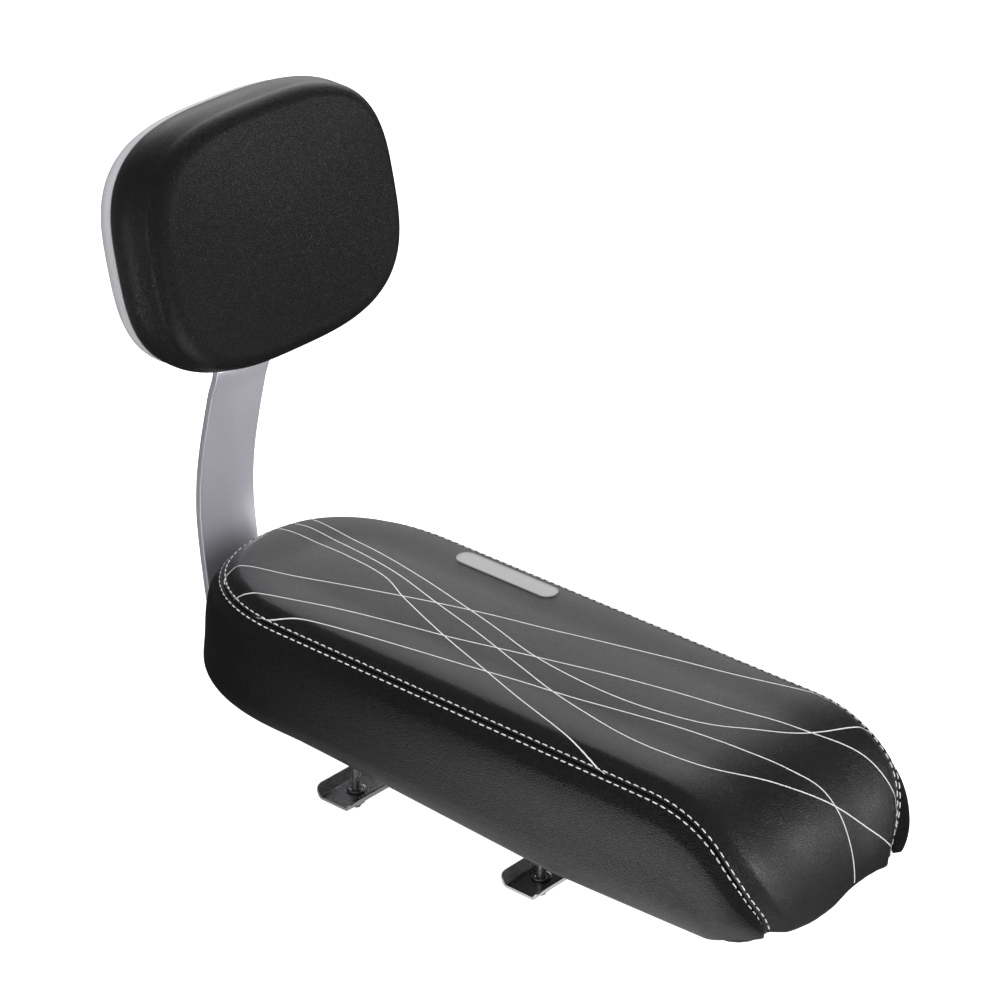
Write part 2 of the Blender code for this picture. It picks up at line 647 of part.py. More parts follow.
def backrest_shell():
    """Moulded shell behind the pad, with bosses inside for the bolts and screws."""
    turn = np.radians(np.linspace(0.0, 90.0, 5))
    profile = [(0.0, -GAP)] + [(SHELL_ROUND * (1.0 - math.cos(a)),
                                -(SHELL_DEPTH - SHELL_ROUND) - SHELL_ROUND * math.sin(a)) for a in turn]
    rings = [np.c_[back_outline(inset), np.full(BACK_AROUND, depth)] for inset, depth in profile]
    rings.append(rings[-1] * np.array([0.0, 0.0, 1.0]))
    rings = np.stack(rings)
    mesh = mesh_from("backrest_shell", rings.reshape(-1, 3), ring_faces(*rings.shape[:2]))
    made = into_scene("backrest_shell", mesh, WHITE_PLASTIC, back_frame())
    solidify(made, SHELL_WALL, -1.0)
    floor = -SHELL_DEPTH + SHELL_WALL / 2.0
    for number, (across, up, boss, bore) in enumerate(shell_bosses()):
        post = cylinder(f"boss_{number}", boss, floor, -GAP, WHITE_PLASTIC, back_frame(across, up))
        boolean(made, as_cutter(post), 'UNION')
    for number, (across, up, boss, bore) in enumerate(shell_bosses()):
        place = back_frame(across, up)
        boolean(made, as_cutter(cylinder(f"boss_bore_{number}", bore, -2.0 * SHELL_DEPTH, SHELL_DEPTH,
                                         WHITE_PLASTIC, place)))
    return smooth(made)


def shell_bosses():
    """Place, outer radius and bore of each boss in the shell."""
    bolts = [(0.0, side * BACK_BOLT_SPREAD / 2.0, BOSS_RADIUS, BAR_BOLT_RADIUS + BOLT_HOLE_SLACK)
             for side in (-1, 1)]
    screws = [(side * SCREW_ACROSS, rise * SCREW_UP, SHELL_BOSS_RADIUS, SHELL_SCREW_RADIUS + STUD_HOLE_SLACK)
              for side in (-1, 1) for rise in (-1, 1)]
    return bolts + screws


# Flat bar

def bar_line():
    """Mid-thickness of the bar in its side view, from the leg's front end to the top."""
    leg_z = -GAP - BAR_THICKNESS / 2.0
    foot_x = REAR_X - REAR_BULGE - BAR_STAND_OFF
    bend_x = foot_x + BAR_BEND_RADIUS
    turn = np.linspace(0.0, math.pi / 2.0, 7)
    leg = [(x, leg_z) for x in np.linspace(BAR_LEG_FRONT, bend_x, 3)[:-1]]
    bend = [(bend_x - BAR_BEND_RADIUS * math.sin(a), leg_z + BAR_BEND_RADIUS * (1.0 - math.cos(a)))
            for a in turn]
    lean_x, knee_x = foot_x - BAR_LEAN, foot_x + BAR_KNEE_FORWARD
    climb = BAR_KNEE_HEIGHT - BAR_LEAN_HEIGHT
    still, low = BAR_SETTLE
    knots = [bend[-2], bend[-1]]
    knots += [(lean_x + BAR_LEAN * still, BAR_LEAN_HEIGHT * low), (lean_x, BAR_LEAN_HEIGHT)]
    knots += [(lean_x + (knee_x - lean_x) * forward, BAR_LEAN_HEIGHT + climb * up)
              for forward, up in BAR_CLIMB]
    knots += [back_point(-BACK_HEIGHT / 2.0), back_point(0.0)]
    rise = smooth_through(knots, 3)
    top = [back_point(up) for up in np.linspace(-BACK_HEIGHT / 2.0, BAR_TOP_REACH, 4)[1:]]
    return np.array(leg + bend + rise[1:] + top)


def back_point(up):
    """A point of the bar's mid-thickness behind the backrest, as x and z."""
    place = back_frame(0.0, up, BAR_DEPTH).translation
    return (place.x, place.z)


def smooth_through(knots, steps):
    """Points of a smooth curve through all knots but the first and last, which only steer it."""
    knots = np.array(knots)
    points = [tuple(knots[1])]
    for before, start, end, after in zip(knots, knots[1:], knots[2:], knots[3:]):
        for share in np.linspace(0.0, 1.0, steps + 1)[1:]:
            leave, arrive = tangent(before, start, end), tangent(start, end, after)
            points.append(tuple(hermite(start, end, leave, arrive, share)))
    return points


def tangent(before, here, after):
    """Direction of the curve at a knot, between its neighbours."""
    return (after - before) / np.linalg.norm(after - before)


def hermite(start, end, leave, arrive, share):
    """Point of a cubic between two knots, with given directions at both."""
    reach = np.linalg.norm(end - start)
    a, b = share ** 2 * (3.0 - 2.0 * share), share * (1.0 - share)
    return start * (1.0 - a) + end * a + reach * b * (leave * (1.0 - share) - arrive * share)


def backrest_bar():
    """Bent flat bar from under the cushion up behind the backrest."""
    line = bar_line()
    half = BAR_WIDTH / 2.0
    points = [(x, y, z) for x, z in line for y in (-half, half)]
    mesh = mesh_from("backrest_bar", points, grid_faces(len(line), 2))
    made = into_scene("backrest_bar", mesh, PAINTED_STEEL)
    solidify(made, BAR_THICKNESS, 0.0)
    edge = made.modifiers.new("edge", 'BEVEL')
    edge.width = BAR_EDGE_ROUND
    edge.segments = 1
    edge.limit_method = 'ANGLE'
    edge.angle_limit = math.radians(60.0)
    bore = BAR_BOLT_RADIUS + BOLT_HOLE_SLACK
    for number, x in enumerate(BAR_BOLT_X):
        place = Matrix.Translation((x, 0.0, 0.0))
        hole = cylinder(f"leg_hole_{number}", bore, -2.0 * BAR_THICKNESS, BAR_THICKNESS, frame=place)
        boolean(made, as_cutter(hole))
    for number, side in enumerate((-1, 1)):
        place = back_frame(0.0, side * BACK_BOLT_SPREAD / 2.0, BAR_DEPTH)
        hole = cylinder(f"bar_hole_{number}", bore, -BAR_THICKNESS, BAR_THICKNESS, frame=place)
        boolean(made, as_cutter(hole))
    return smooth(made)


def bolt_set(tail, frame, face, nut_face, board, thickness, foam):
    """A bolt with its washer and its T-nut: the head lies under face, the T-nut's flange on nut_face.

    Local Z runs from the head to the T-nut, and the board ends at nut_face.
    """
    head_top = face - WASHER_THICKNESS - 2.0 * GAP
    rim_low = head_top - BOLT_HEAD_RIM
    dome = [(BOLT_HEAD_RADIUS * math.sin(a), rim_low - (BOLT_HEAD_HEIGHT - BOLT_HEAD_RIM) * math.cos(a))
            for a in np.radians((0.0, 35.0, 65.0, 90.0))]
    profile = dome + [(BOLT_HEAD_RADIUS, head_top), (BAR_BOLT_RADIUS, head_top), (BAR_BOLT_RADIUS, nut_face),
                      (0.0, nut_face)]
    smooth(turned("bolt_" + tail, profile[::-1], frame=frame))
    ring("washer_" + tail, BAR_BOLT_RADIUS + GAP, WASHER_RADIUS, face - GAP - WASHER_THICKNESS, face - GAP,
         frame=frame)
    barrel_low = nut_face - thickness + GAP
    flange_top = nut_face + GAP + TNUT_FLANGE_THICKNESS
    tnut = [(TNUT_FLANGE_RADIUS, flange_top), (TNUT_FLANGE_RADIUS, nut_face + GAP),
            (TNUT_BARREL_RADIUS, nut_face + GAP), (TNUT_BARREL_RADIUS, barrel_low),
            (BAR_BOLT_RADIUS + GAP, barrel_low), (BAR_BOLT_RADIUS + GAP, flange_top)]
    turned("tnut_" + tail, tnut, frame=frame, closed=True)
    boolean(board, as_cutter(cylinder("tnut_hole_" + tail, TNUT_BARREL_RADIUS + GAP,
                                      nut_face - 2.0 * thickness, nut_face + thickness, frame=frame)))
    boolean(foam, as_cutter(cylinder("tnut_pocket_" + tail, TNUT_FLANGE_RADIUS + POCKET_SLACK,
                                     nut_face - POCKET_SLACK, flange_top + POCKET_SLACK, frame=frame)))


def shell_screws(board):
    """Four short screws through the shell's bosses into the pad's board."""
    head_face = -SHELL_DEPTH - GAP
    tip = GAP + SHELL_SCREW_BITE
    for rise, height in ((-1, "lower"), (1, "upper")):
        for side, hand in ((-1, "right"), (1, "left")):
            frame = back_frame(side * SCREW_ACROSS, rise * SCREW_UP)
            dome = [(SHELL_SCREW_HEAD_RADIUS * math.sin(a), head_face - SHELL_SCREW_HEAD_HEIGHT * math.cos(a))
                    for a in np.radians((0.0, 45.0, 90.0))]
            profile = dome + [(SHELL_SCREW_RADIUS, head_face), (SHELL_SCREW_RADIUS, tip - SHELL_SCREW_POINT),
                              (0.0, tip)]
            smooth(turned(f"shell_screw_{height}_{hand}", profile[::-1], frame=frame, sides=10))
            hole = as_cutter(cylinder(f"screw_hole_{height}_{hand}", SHELL_SCREW_RADIUS + GAP, -GAP,
                                      tip + GAP, frame=frame, sides=10))
            boolean(board, hole)


def main():
    """Makes the part."""
    board = seat_board()
    liner = seat_liner()
    foam = seat_foam()
    seat_top_panel()
    seat_side_band()
    seat_badge()
    clamp("rear", CLAMP_REAR_X, board, liner, foam)
    clamp("front", CLAMP_FRONT_X, board, liner, foam)
    backrest_bar()
    backrest_shell()
    back_board = backrest_board()
    back_foam = backrest_foam()
    backrest_cover()
    for x, tail in zip(BAR_BOLT_X, ("leg_rear", "leg_front")):
        frame = Matrix.Translation((x, 0.0, 0.0))
        bolt_set(tail, frame, -GAP - BAR_THICKNESS, BOARD_TOP, board, SEAT_BOARD_THICKNESS, foam)
        hole = cylinder("liner_hole_" + tail, TNUT_BARREL_RADIUS, -BOARD_LOW, BOARD_LOW, frame=frame)
        boolean(liner, as_cutter(hole))
    for side, tail in ((-1, "back_lower"), (1, "back_upper")):
        frame = back_frame(0.0, side * BACK_BOLT_SPREAD / 2.0)
        bolt_set(tail, frame, BAR_DEPTH - BAR_THICKNESS / 2.0, GAP + BACK_BOARD_THICKNESS, back_board,
                 BACK_BOARD_THICKNESS, back_foam)
    shell_screws(back_board)


main()
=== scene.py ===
"""Looks of a bicycle rear rack seat: a sewn cushion with a padded backrest on a bent flat bar.

Every visible piece is a surface worked out as whole arrays. Units are metres, +X forward, +Y to the rider's
left, +Z up, and the origin is in the middle of the cushion's underside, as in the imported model.
"""
from __future__ import annotations

import json
import logging
import math
from contextlib import contextmanager
from dataclasses import dataclass
from enum import Enum
from typing import Iterator, Sequence

import bmesh
import bpy
import numpy as np
from mathutils import Matrix, Vector

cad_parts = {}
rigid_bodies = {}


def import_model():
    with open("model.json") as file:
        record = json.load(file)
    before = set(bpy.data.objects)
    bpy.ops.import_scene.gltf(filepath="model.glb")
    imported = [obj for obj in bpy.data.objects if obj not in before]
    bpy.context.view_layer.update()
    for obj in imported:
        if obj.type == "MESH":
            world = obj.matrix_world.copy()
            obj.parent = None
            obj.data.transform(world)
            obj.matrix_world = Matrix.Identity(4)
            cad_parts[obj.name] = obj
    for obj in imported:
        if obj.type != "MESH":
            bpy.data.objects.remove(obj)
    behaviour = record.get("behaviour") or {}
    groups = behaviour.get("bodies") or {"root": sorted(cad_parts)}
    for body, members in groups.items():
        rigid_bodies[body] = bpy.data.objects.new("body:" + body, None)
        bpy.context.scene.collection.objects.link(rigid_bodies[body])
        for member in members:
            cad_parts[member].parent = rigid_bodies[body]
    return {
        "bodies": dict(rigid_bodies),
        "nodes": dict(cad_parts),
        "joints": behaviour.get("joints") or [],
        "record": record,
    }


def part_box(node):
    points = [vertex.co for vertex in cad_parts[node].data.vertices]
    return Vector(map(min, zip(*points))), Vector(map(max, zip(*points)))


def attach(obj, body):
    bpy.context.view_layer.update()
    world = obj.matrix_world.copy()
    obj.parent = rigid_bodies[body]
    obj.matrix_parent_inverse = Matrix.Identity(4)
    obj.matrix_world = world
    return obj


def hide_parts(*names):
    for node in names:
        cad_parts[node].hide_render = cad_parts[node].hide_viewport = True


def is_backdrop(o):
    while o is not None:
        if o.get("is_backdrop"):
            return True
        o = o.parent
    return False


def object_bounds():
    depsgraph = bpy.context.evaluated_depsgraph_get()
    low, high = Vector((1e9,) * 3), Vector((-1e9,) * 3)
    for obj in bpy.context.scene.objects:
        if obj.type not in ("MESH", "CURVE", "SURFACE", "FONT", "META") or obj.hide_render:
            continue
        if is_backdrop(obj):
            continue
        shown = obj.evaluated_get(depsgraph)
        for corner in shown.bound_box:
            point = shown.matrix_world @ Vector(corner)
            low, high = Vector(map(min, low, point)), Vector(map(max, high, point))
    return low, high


LOG = logging.getLogger("rack_seat")
BODY = "root"
MM = 0.001
WELD = 1e-6
FINE_WELD = 1e-7
LEATHER_WALL = 0.0011
FLIP_Y = np.array([1.0, -1.0, 1.0])
Array = np.ndarray
Tree = bpy.types.NodeTree
Node = bpy.types.Node
Socket = bpy.types.NodeSocket
Material = bpy.types.Material
Piece = bpy.types.Object


class Slot(Enum):
    """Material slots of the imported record."""

    LEATHER = "cover_leather"
    FOAM = "foam"
    BOARD = "board"
    LINER = "liner"
    BADGE = "badge"
    PAINT = "bar_paint"
    PLATING = "plated_steel"
    SHELL = "shell_plastic"


class Side(Enum):
    """The two sides of the cushion, as the sign of Y."""

    RIGHT = -1
    LEFT = 1


# Grids and meshes


def grid_faces(rows: int, columns: int, closed: bool = False) -> Array:
    """Quads of a grid of points numbered row by row.

    Args:
        rows: Number of rows.
        columns: Number of points in a row.
        closed: Whether each row is a ring, whose last point joins its first.

    Returns:
        An array of four point numbers for each quad.
    """
    steps = columns if closed else columns - 1
    row, column = np.meshgrid(np.arange(rows - 1), np.arange(steps), indexing="ij")
    after = (column + 1) % columns
    quads = np.stack([row * columns + column, row * columns + after,
                      (row + 1) * columns + after, (row + 1) * columns + column], -1)
    return quads.reshape(-1, 4)


def tube(name: str, rings: Array, finish: Material, slot: Slot, weld: float = WELD) -> Piece:
    """A piece on rings of points, each joined to the next; points that meet are welded."""
    faces = grid_faces(*rings.shape[:2], closed=True)
    return mesh_piece(name, rings, faces, finish, slot, weld=weld)


@contextmanager
def edited(mesh: bpy.types.Mesh) -> Iterator[bmesh.types.BMesh]:
    """A mesh opened for editing, written back at the end."""
    work = bmesh.new()
    work.from_mesh(mesh)
    yield work
    work.to_mesh(mesh)
    work.free()


def put(name: str, data: bpy.types.ID) -> Piece:
    """Puts a mesh, lamp or camera in the scene as a new object."""
    made = bpy.data.objects.new(name, data)
    bpy.context.scene.collection.objects.link(made)
    return made


def mesh_piece(name: str, points: Array, faces: Array, finish: Material, slot: Slot,
               weld: float = 0.0, outward: bool = True) -> Piece:
    """Puts arrays of points and quads into a smooth-shaded mesh that rides on the frame.

    Args:
        name: The piece's name.
        points: Points in any grid shape, three coordinates last.
        faces: Quads as point numbers.
        finish: The piece's material.
        slot: The record's slot; not used.
        weld: Distance under which points are merged, which closes rings and poles.
        outward: Whether the faces are turned to point out.

    Returns:
        The new object.
    """
    mesh = bpy.data.meshes.new(name)
    flat = np.ascontiguousarray(points, dtype=np.float32).reshape(-1, 3)
    mesh.vertices.add(len(flat))
    mesh.vertices.foreach_set("co", flat.ravel())
    mesh.loops.add(faces.size)
    mesh.loops.foreach_set("vertex_index", faces.astype(np.int32).ravel())
    mesh.polygons.add(len(faces))
    mesh.polygons.foreach_set("loop_start", np.arange(0, faces.size, faces.shape[1], dtype=np.int32))
    mesh.update(calc_edges=True)
    with edited(mesh) as work:
        if weld > 0.0:
            bmesh.ops.remove_doubles(work, verts=work.verts, dist=weld)
            bmesh.ops.dissolve_degenerate(work, edges=work.edges, dist=weld / 10.0)
        if outward:
            bmesh.ops.recalc_face_normals(work, faces=work.faces)
    mesh.shade_smooth()
    piece = put(name, mesh)
    mesh.materials.append(finish)
    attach(piece, BODY)
    LOG.info("%s: %d faces", name, len(mesh.polygons))
    return piece


def thicken(piece: Piece, thickness: float) -> None:
    """Gives an open skin its wall, inwards from its outer face, and applies it."""
    wall = piece.modifiers.new("wall", 'SOLIDIFY')
    wall.thickness = thickness
    wall.offset = -1.0
    wall.use_even_offset = False
    apply_modifiers(piece)


def round_edges(piece: Piece, width: float) -> None:
    """Rounds off a piece's edges of more than 50 degrees."""
    rounding = piece.modifiers.new("rounding", 'BEVEL')
    rounding.width = width
    rounding.segments = 2
    rounding.limit_method = 'ANGLE'
    rounding.angle_limit = math.radians(50.0)
    apply_modifiers(piece)


def apply_modifiers(piece: Piece) -> None:
    """Replaces a piece's mesh with its evaluated one, and clears its modifiers."""
    graph = bpy.context.evaluated_depsgraph_get()
    made = bpy.data.meshes.new_from_object(piece.evaluated_get(graph))
    old = piece.data
    piece.modifiers.clear()
    piece.data = made
    bpy.data.meshes.remove(old)


def sharpen(piece: Piece, degrees: float = 40.0) -> None:
    """Keeps edges crisp where faces meet at more than an angle."""
    piece.data.set_sharp_from_angle(angle=math.radians(degrees))


def unit(vectors: Array) -> Array:
    """Vectors at length one, along their last axis."""
    return vectors / np.maximum(np.linalg.norm(vectors, axis=-1, keepdims=True), 1e-12)


def ramp(low: float, high: float, value: Array) -> Array:
    """Smooth rise from 0 at low to 1 at high: a cubic with level ends."""
    share = np.clip((value - low) / (high - low), 0.0, 1.0)
    return share * share * (3.0 - 2.0 * share)


def dip(value: Array, centre: float, width: float) -> Array:
    """A bell of height one round a centre."""
    return np.exp(-((value - centre) / width) ** 2)


def along(points: Array) -> Array:
    """Distance from the first point of a line to each of its points."""
    return np.r_[0.0, np.cumsum(np.linalg.norm(np.diff(points, axis=0), axis=1))]


def capped(rings: Array) -> Array:
    """Rings with the middle of the first and of the last one added, which closes their ends."""
    ends = [np.repeat(rings[i].mean(axis=0)[None, None], rings.shape[1], 1) for i in (0, -1)]
    return np.concatenate([ends[0], rings, ends[1]])


def drawn_in(ring: Array, shares: Array) -> Array:
    """Copies of a level ring drawn in to its axis, one for each share of its size."""
    share = shares[:, None, None]
    return ring[None] * np.concatenate([share, share, np.ones_like(share)], 2)


def smooth_line(knots: Sequence[Sequence[float]], step: float) -> Array:
    """A curve through knots, as points at an even distance.

    Each stretch is a cubic whose end directions follow the neighbouring knots.

    Args:
        knots: The knots, of two or three coordinates.
        step: Distance between the points.

    Returns:
        The points, one to a row.
    """
    knot = np.array(knots, float)
    padded = np.vstack([2.0 * knot[0] - knot[1], knot, 2.0 * knot[-1] - knot[-2]])
    share = np.linspace(0.0, 1.0, 33)[:-1, None]
    before, start, end, after = padded[:-3], padded[1:-2], padded[2:-1], padded[3:]
    reach = np.linalg.norm(end - start, axis=1)[:, None, None]
    leave = unit(end - before)[:, None]
    arrive = unit(after - start)[:, None]
    rise = share ** 2 * (3.0 - 2.0 * share)
    curve = (start[:, None] * (1.0 - rise) + end[:, None] * rise
             + reach * share * (1.0 - share) * (leave * (1.0 - share) - arrive * share))
    dense = np.vstack([curve.reshape(-1, knot.shape[1]), knot[-1]])
    length = along(dense)
    places = np.linspace(0.0, length[-1], max(2, int(round(length[-1] / step)) + 1))
    return np.stack([np.interp(places, length, dense[:, i]) for i in range(knot.shape[1])], 1)


# Finishes


def set_inputs(tree: Tree, node: Node, values: dict[str | int, object]) -> None:
    """Links or sets a node's inputs.

    Args:
        tree: The node's tree.
        node: The node.
        values: For the name or number of each input, a socket to link or a value to set.
    """
    for place, value in values.items():
        if isinstance(value, Socket):
            tree.links.new(value, node.inputs[place])
        else:
            node.inputs[place].default_value = value


def add_node(tree: Tree, kind: str, values: dict[str | int, object] | None = None,
             **settings: object) -> Node:
    """Adds a node.

    Args:
        tree: The tree that it goes into.
        kind: The node's type.
        values: Its inputs, as for set_inputs.
        settings: Its properties, which are set before its inputs.

    Returns:
        The new node.
    """
    node = tree.nodes.new(kind)
    for name, value in settings.items():
        setattr(node, name, value)
    set_inputs(tree, node, values or {})
    return node


def either(tree: Tree, choice: Socket, first: Socket,
           second: Socket) -> Socket:
    """One shader or, where the choice is 1, another."""
    return add_node(tree, 'ShaderNodeMixShader', {"Fac": choice, 1: first, 2: second}).outputs["Shader"]


@dataclass(frozen=True)
class GroupRecipe:
    """A shader node group: its name and its input and output sockets."""

    name: str
    inputs: tuple[tuple[str, str, float], ...]
    outputs: tuple[tuple[str, str], ...]

    def build(self) -> tuple[Tree, Node, Node]:
        """Makes the empty group with its sockets.

        Returns:
            The group's tree, its input node and its output node.
        """
        tree = bpy.data.node_groups.new(self.name, 'ShaderNodeTree')
        for label, kind, value in self.inputs:
            made = tree.interface.new_socket(name=label, in_out='INPUT', socket_type=kind)
            if kind == 'NodeSocketFloat':
                made.default_value = value
        for label, kind in self.outputs:
            tree.interface.new_socket(name=label, in_out='OUTPUT', socket_type=kind)
        return tree, tree.nodes.new('NodeGroupInput'), tree.nodes.new('NodeGroupOutput')


class ShaderKit:
    """Builds the shared node groups once and the materials that place them."""

    def __init__(self) -> None:
        """Builds the groups."""
        self.grain = self._grain()
        self.mottle = self._mottle()

    @staticmethod
    def calculate(tree: Tree, operation: str, first: object,
                  second: object) -> Socket:
        """A Math node with each operand a socket or a number."""
        return add_node(tree, 'ShaderNodeMath', {0: first, 1: second}, operation=operation).outputs[0]

    @staticmethod
    def _noise(tree: Tree, vector: Socket, scale: object, detail: float,
               distortion: float = 0.0) -> Socket:
        """A noise value from 0 to 1 on a vector."""
        values = {"Vector": vector, "Scale": scale, "Detail": detail, "Distortion": distortion}
        return add_node(tree, 'ShaderNodeTexNoise', values).outputs["Fac"]

    def _grain(self) -> Tree:
        """Embossed leather: cells of uneven size with creases between them, and fine pores."""
        tree, source, target = GroupRecipe(
            "embossed_grain",
            (("Vector", 'NodeSocketVector', 0.0), ("Cells", 'NodeSocketFloat', 900.0),
             ("Pores", 'NodeSocketFloat', 2600.0), ("Folds", 'NodeSocketFloat', 90.0)),
            (("Height", 'NodeSocketFloat'),)).build()
        vector = source.outputs["Vector"]
        sway = add_node(tree, 'ShaderNodeTexNoise', {"Vector": vector, "Scale": 260.0})
        bent = add_node(tree, 'ShaderNodeVectorMath',
                        {0: sway.outputs["Color"], 1: (0.0016, 0.0016, 0.0016), 2: vector},
                        operation='MULTIPLY_ADD')
        cells = add_node(tree, 'ShaderNodeTexVoronoi',
                         {"Vector": bent.outputs[0], "Scale": source.outputs["Cells"], "Randomness": 0.95},
                         feature='DISTANCE_TO_EDGE')
        crease = add_node(tree, 'ShaderNodeMapRange', {"Value": cells.outputs["Distance"], "From Max": 0.22},
                          interpolation_type='SMOOTHSTEP')
        pores = self._noise(tree, vector, source.outputs["Pores"], 3.0)
        folds = self._noise(tree, vector, source.outputs["Folds"], 4.0, 0.6)
        fine = self.calculate(tree, 'MULTIPLY', pores, 0.35)
        wide = self.calculate(tree, 'MULTIPLY', folds, 0.8)
        small = self.calculate(tree, 'ADD', crease.outputs["Result"], fine)
        set_inputs(tree, target, {"Height": self.calculate(tree, 'ADD', small, wide)})
        return tree

    def _mottle(self) -> Tree:
        """Slow unevenness of a finish: a broad and a fine noise, mixed, from 0 to 1."""
        tree, source, target = GroupRecipe(
            "mottle",
            (("Vector", 'NodeSocketVector', 0.0), ("Broad", 'NodeSocketFloat', 14.0),
             ("Fine", 'NodeSocketFloat', 220.0)),
            (("Mask", 'NodeSocketFloat'), ("Speck", 'NodeSocketFloat'))).build()
        vector = source.outputs["Vector"]
        broad = self._noise(tree, vector, source.outputs["Broad"], 4.0, 0.4)
        fine = self._noise(tree, vector, source.outputs["Fine"], 5.0)
        mask = self.calculate(tree, 'ADD', self.calculate(tree, 'MULTIPLY', broad, 0.7),
                              self.calculate(tree, 'MULTIPLY', fine, 0.3))
        set_inputs(tree, target, {"Mask": mask, "Speck": fine})
        return tree


@dataclass(frozen=True)
class Finish:
    """A material: a Principled shader whose colour, roughness and normal come from the shared groups.

    dark and light are the ends of the colour's slow change, smooth and rough the ends of the roughness.
    """

    name: str
    dark: tuple[float, float, float]
    light: tuple[float, float, float]
    smooth: float
    rough: float
    broad: float = 14.0
    fine: float = 220.0
    cells: float = 0.0
    pores: float = 2600.0
    folds: float = 90.0
    depth: float = 0.0002
    metallic: float = 0.0
    specular: float = 0.5
    sheen: float = 0.0
    coat: float = 0.0
    coat_roughness: float = 0.1

    def material(self, kit: ShaderKit) -> Material:
        """Builds the material.

        Args:
            kit: The shared node groups.

        Returns:
            The new material.
        """
        made = bpy.data.materials.new(self.name)
        made.use_nodes = True
        tree = made.node_tree
        place = add_node(tree, 'ShaderNodeTexCoord').outputs["Object"]
        mottle = add_node(tree, 'ShaderNodeGroup', {"Vector": place, "Broad": self.broad, "Fine": self.fine},
                          node_tree=kit.mottle)
        mask, height = mottle.outputs["Mask"], mottle.outputs["Speck"]
        ends = {"A": (*self.dark, 1.0), "B": (*self.light, 1.0)}
        colour = add_node(tree, 'ShaderNodeMix', {"Factor": mask, **ends}, data_type='RGBA')
        gloss = add_node(tree, 'ShaderNodeMapRange', {"Value": mask, "From Min": 0.3, "From Max": 0.7,
                                                      "To Min": self.smooth, "To Max": self.rough})
        if self.cells > 0.0:
            values = {"Vector": place, "Cells": self.cells, "Pores": self.pores, "Folds": self.folds}
            height = add_node(tree, 'ShaderNodeGroup', values, node_tree=kit.grain).outputs["Height"]
        bump = add_node(tree, 'ShaderNodeBump', {"Height": height, "Distance": self.depth})
        set_inputs(tree, tree.nodes["Principled BSDF"], {
            "Base Color": colour.outputs["Result"], "Roughness": gloss.outputs["Result"],
            "Normal": bump.outputs["Normal"], "Metallic": self.metallic, "Specular IOR Level": self.specular,
            "Sheen Weight": self.sheen, "Coat Weight": self.coat, "Coat Roughness": self.coat_roughness})
        return made


class Finishes:
    """Every material of the part, built once."""

    def __init__(self) -> None:
        """Builds the materials."""
        kit = ShaderKit()

        def finish(name: str, dark: Sequence[float], light: Sequence[float], gloss: tuple[float, float],
                   **details: float) -> Material:
            return Finish(name, tuple(dark), tuple(light), *gloss, **details).material(kit)

        self.leather = finish("panel_leather", (0.0065, 0.0065, 0.0063), (0.011, 0.011, 0.0107), (0.33, 0.41),
                              cells=1000.0, depth=0.00006)
        self.side_leather = finish("side_band_leather", (0.0055, 0.0055, 0.0053), (0.010, 0.010, 0.0097),
                                   (0.30, 0.38), cells=800.0, folds=260.0, depth=0.00014)
        self.back_leather = finish("backrest_leather", (0.0060, 0.0060, 0.0058), (0.009, 0.009, 0.0087),
                                   (0.30, 0.37), cells=1250.0, pores=3600.0, depth=0.00007)
        self.thread = finish("white_thread", (0.80, 0.80, 0.78), (0.92, 0.92, 0.90), (0.55, 0.75),
                             broad=400.0, fine=2500.0, depth=0.0002)
        self.stripe = finish("white_pinstripe_ink", (0.84, 0.84, 0.82), (0.94, 0.94, 0.92), (0.40, 0.55),
                             broad=120.0, fine=900.0, depth=0.00005)
        self.foil = finish("badge_foil", (0.42, 0.42, 0.42), (0.50, 0.50, 0.50), (0.38, 0.50),
                           metallic=0.2, broad=60.0, fine=1400.0, depth=0.00004)
        self.paint = finish("bar_silver_paint", (0.84, 0.83, 0.93), (0.90, 0.89, 0.97), (0.18, 0.26),
                            metallic=0.64, broad=9.0, fine=700.0, depth=0.00004, coat=0.4)
        self.plating = finish("zinc_plating", (0.52, 0.52, 0.51), (0.66, 0.66, 0.65), (0.16, 0.34),
                              metallic=1.0, broad=60.0, fine=900.0, depth=0.00004)
        self.plastic = finish("white_shell_plastic", (0.56, 0.57, 0.59), (0.62, 0.63, 0.65), (0.34, 0.46),
                              broad=20.0, fine=1500.0, depth=0.00003)
        self.board = finish("black_moulded_board", (0.022, 0.022, 0.023), (0.034, 0.034, 0.036), (0.45, 0.60),
                            fine=1200.0, depth=0.0001)
        self.felt = finish("black_felt", (0.010, 0.010, 0.011), (0.026, 0.026, 0.027), (0.90, 1.0),
                           broad=70.0, fine=1500.0, depth=0.0005, sheen=0.3)
        self.foam = finish("grey_foam", (0.26, 0.26, 0.25), (0.40, 0.40, 0.38), (0.90, 1.0),
                           broad=60.0, fine=1600.0, depth=0.0008)


# Cushion

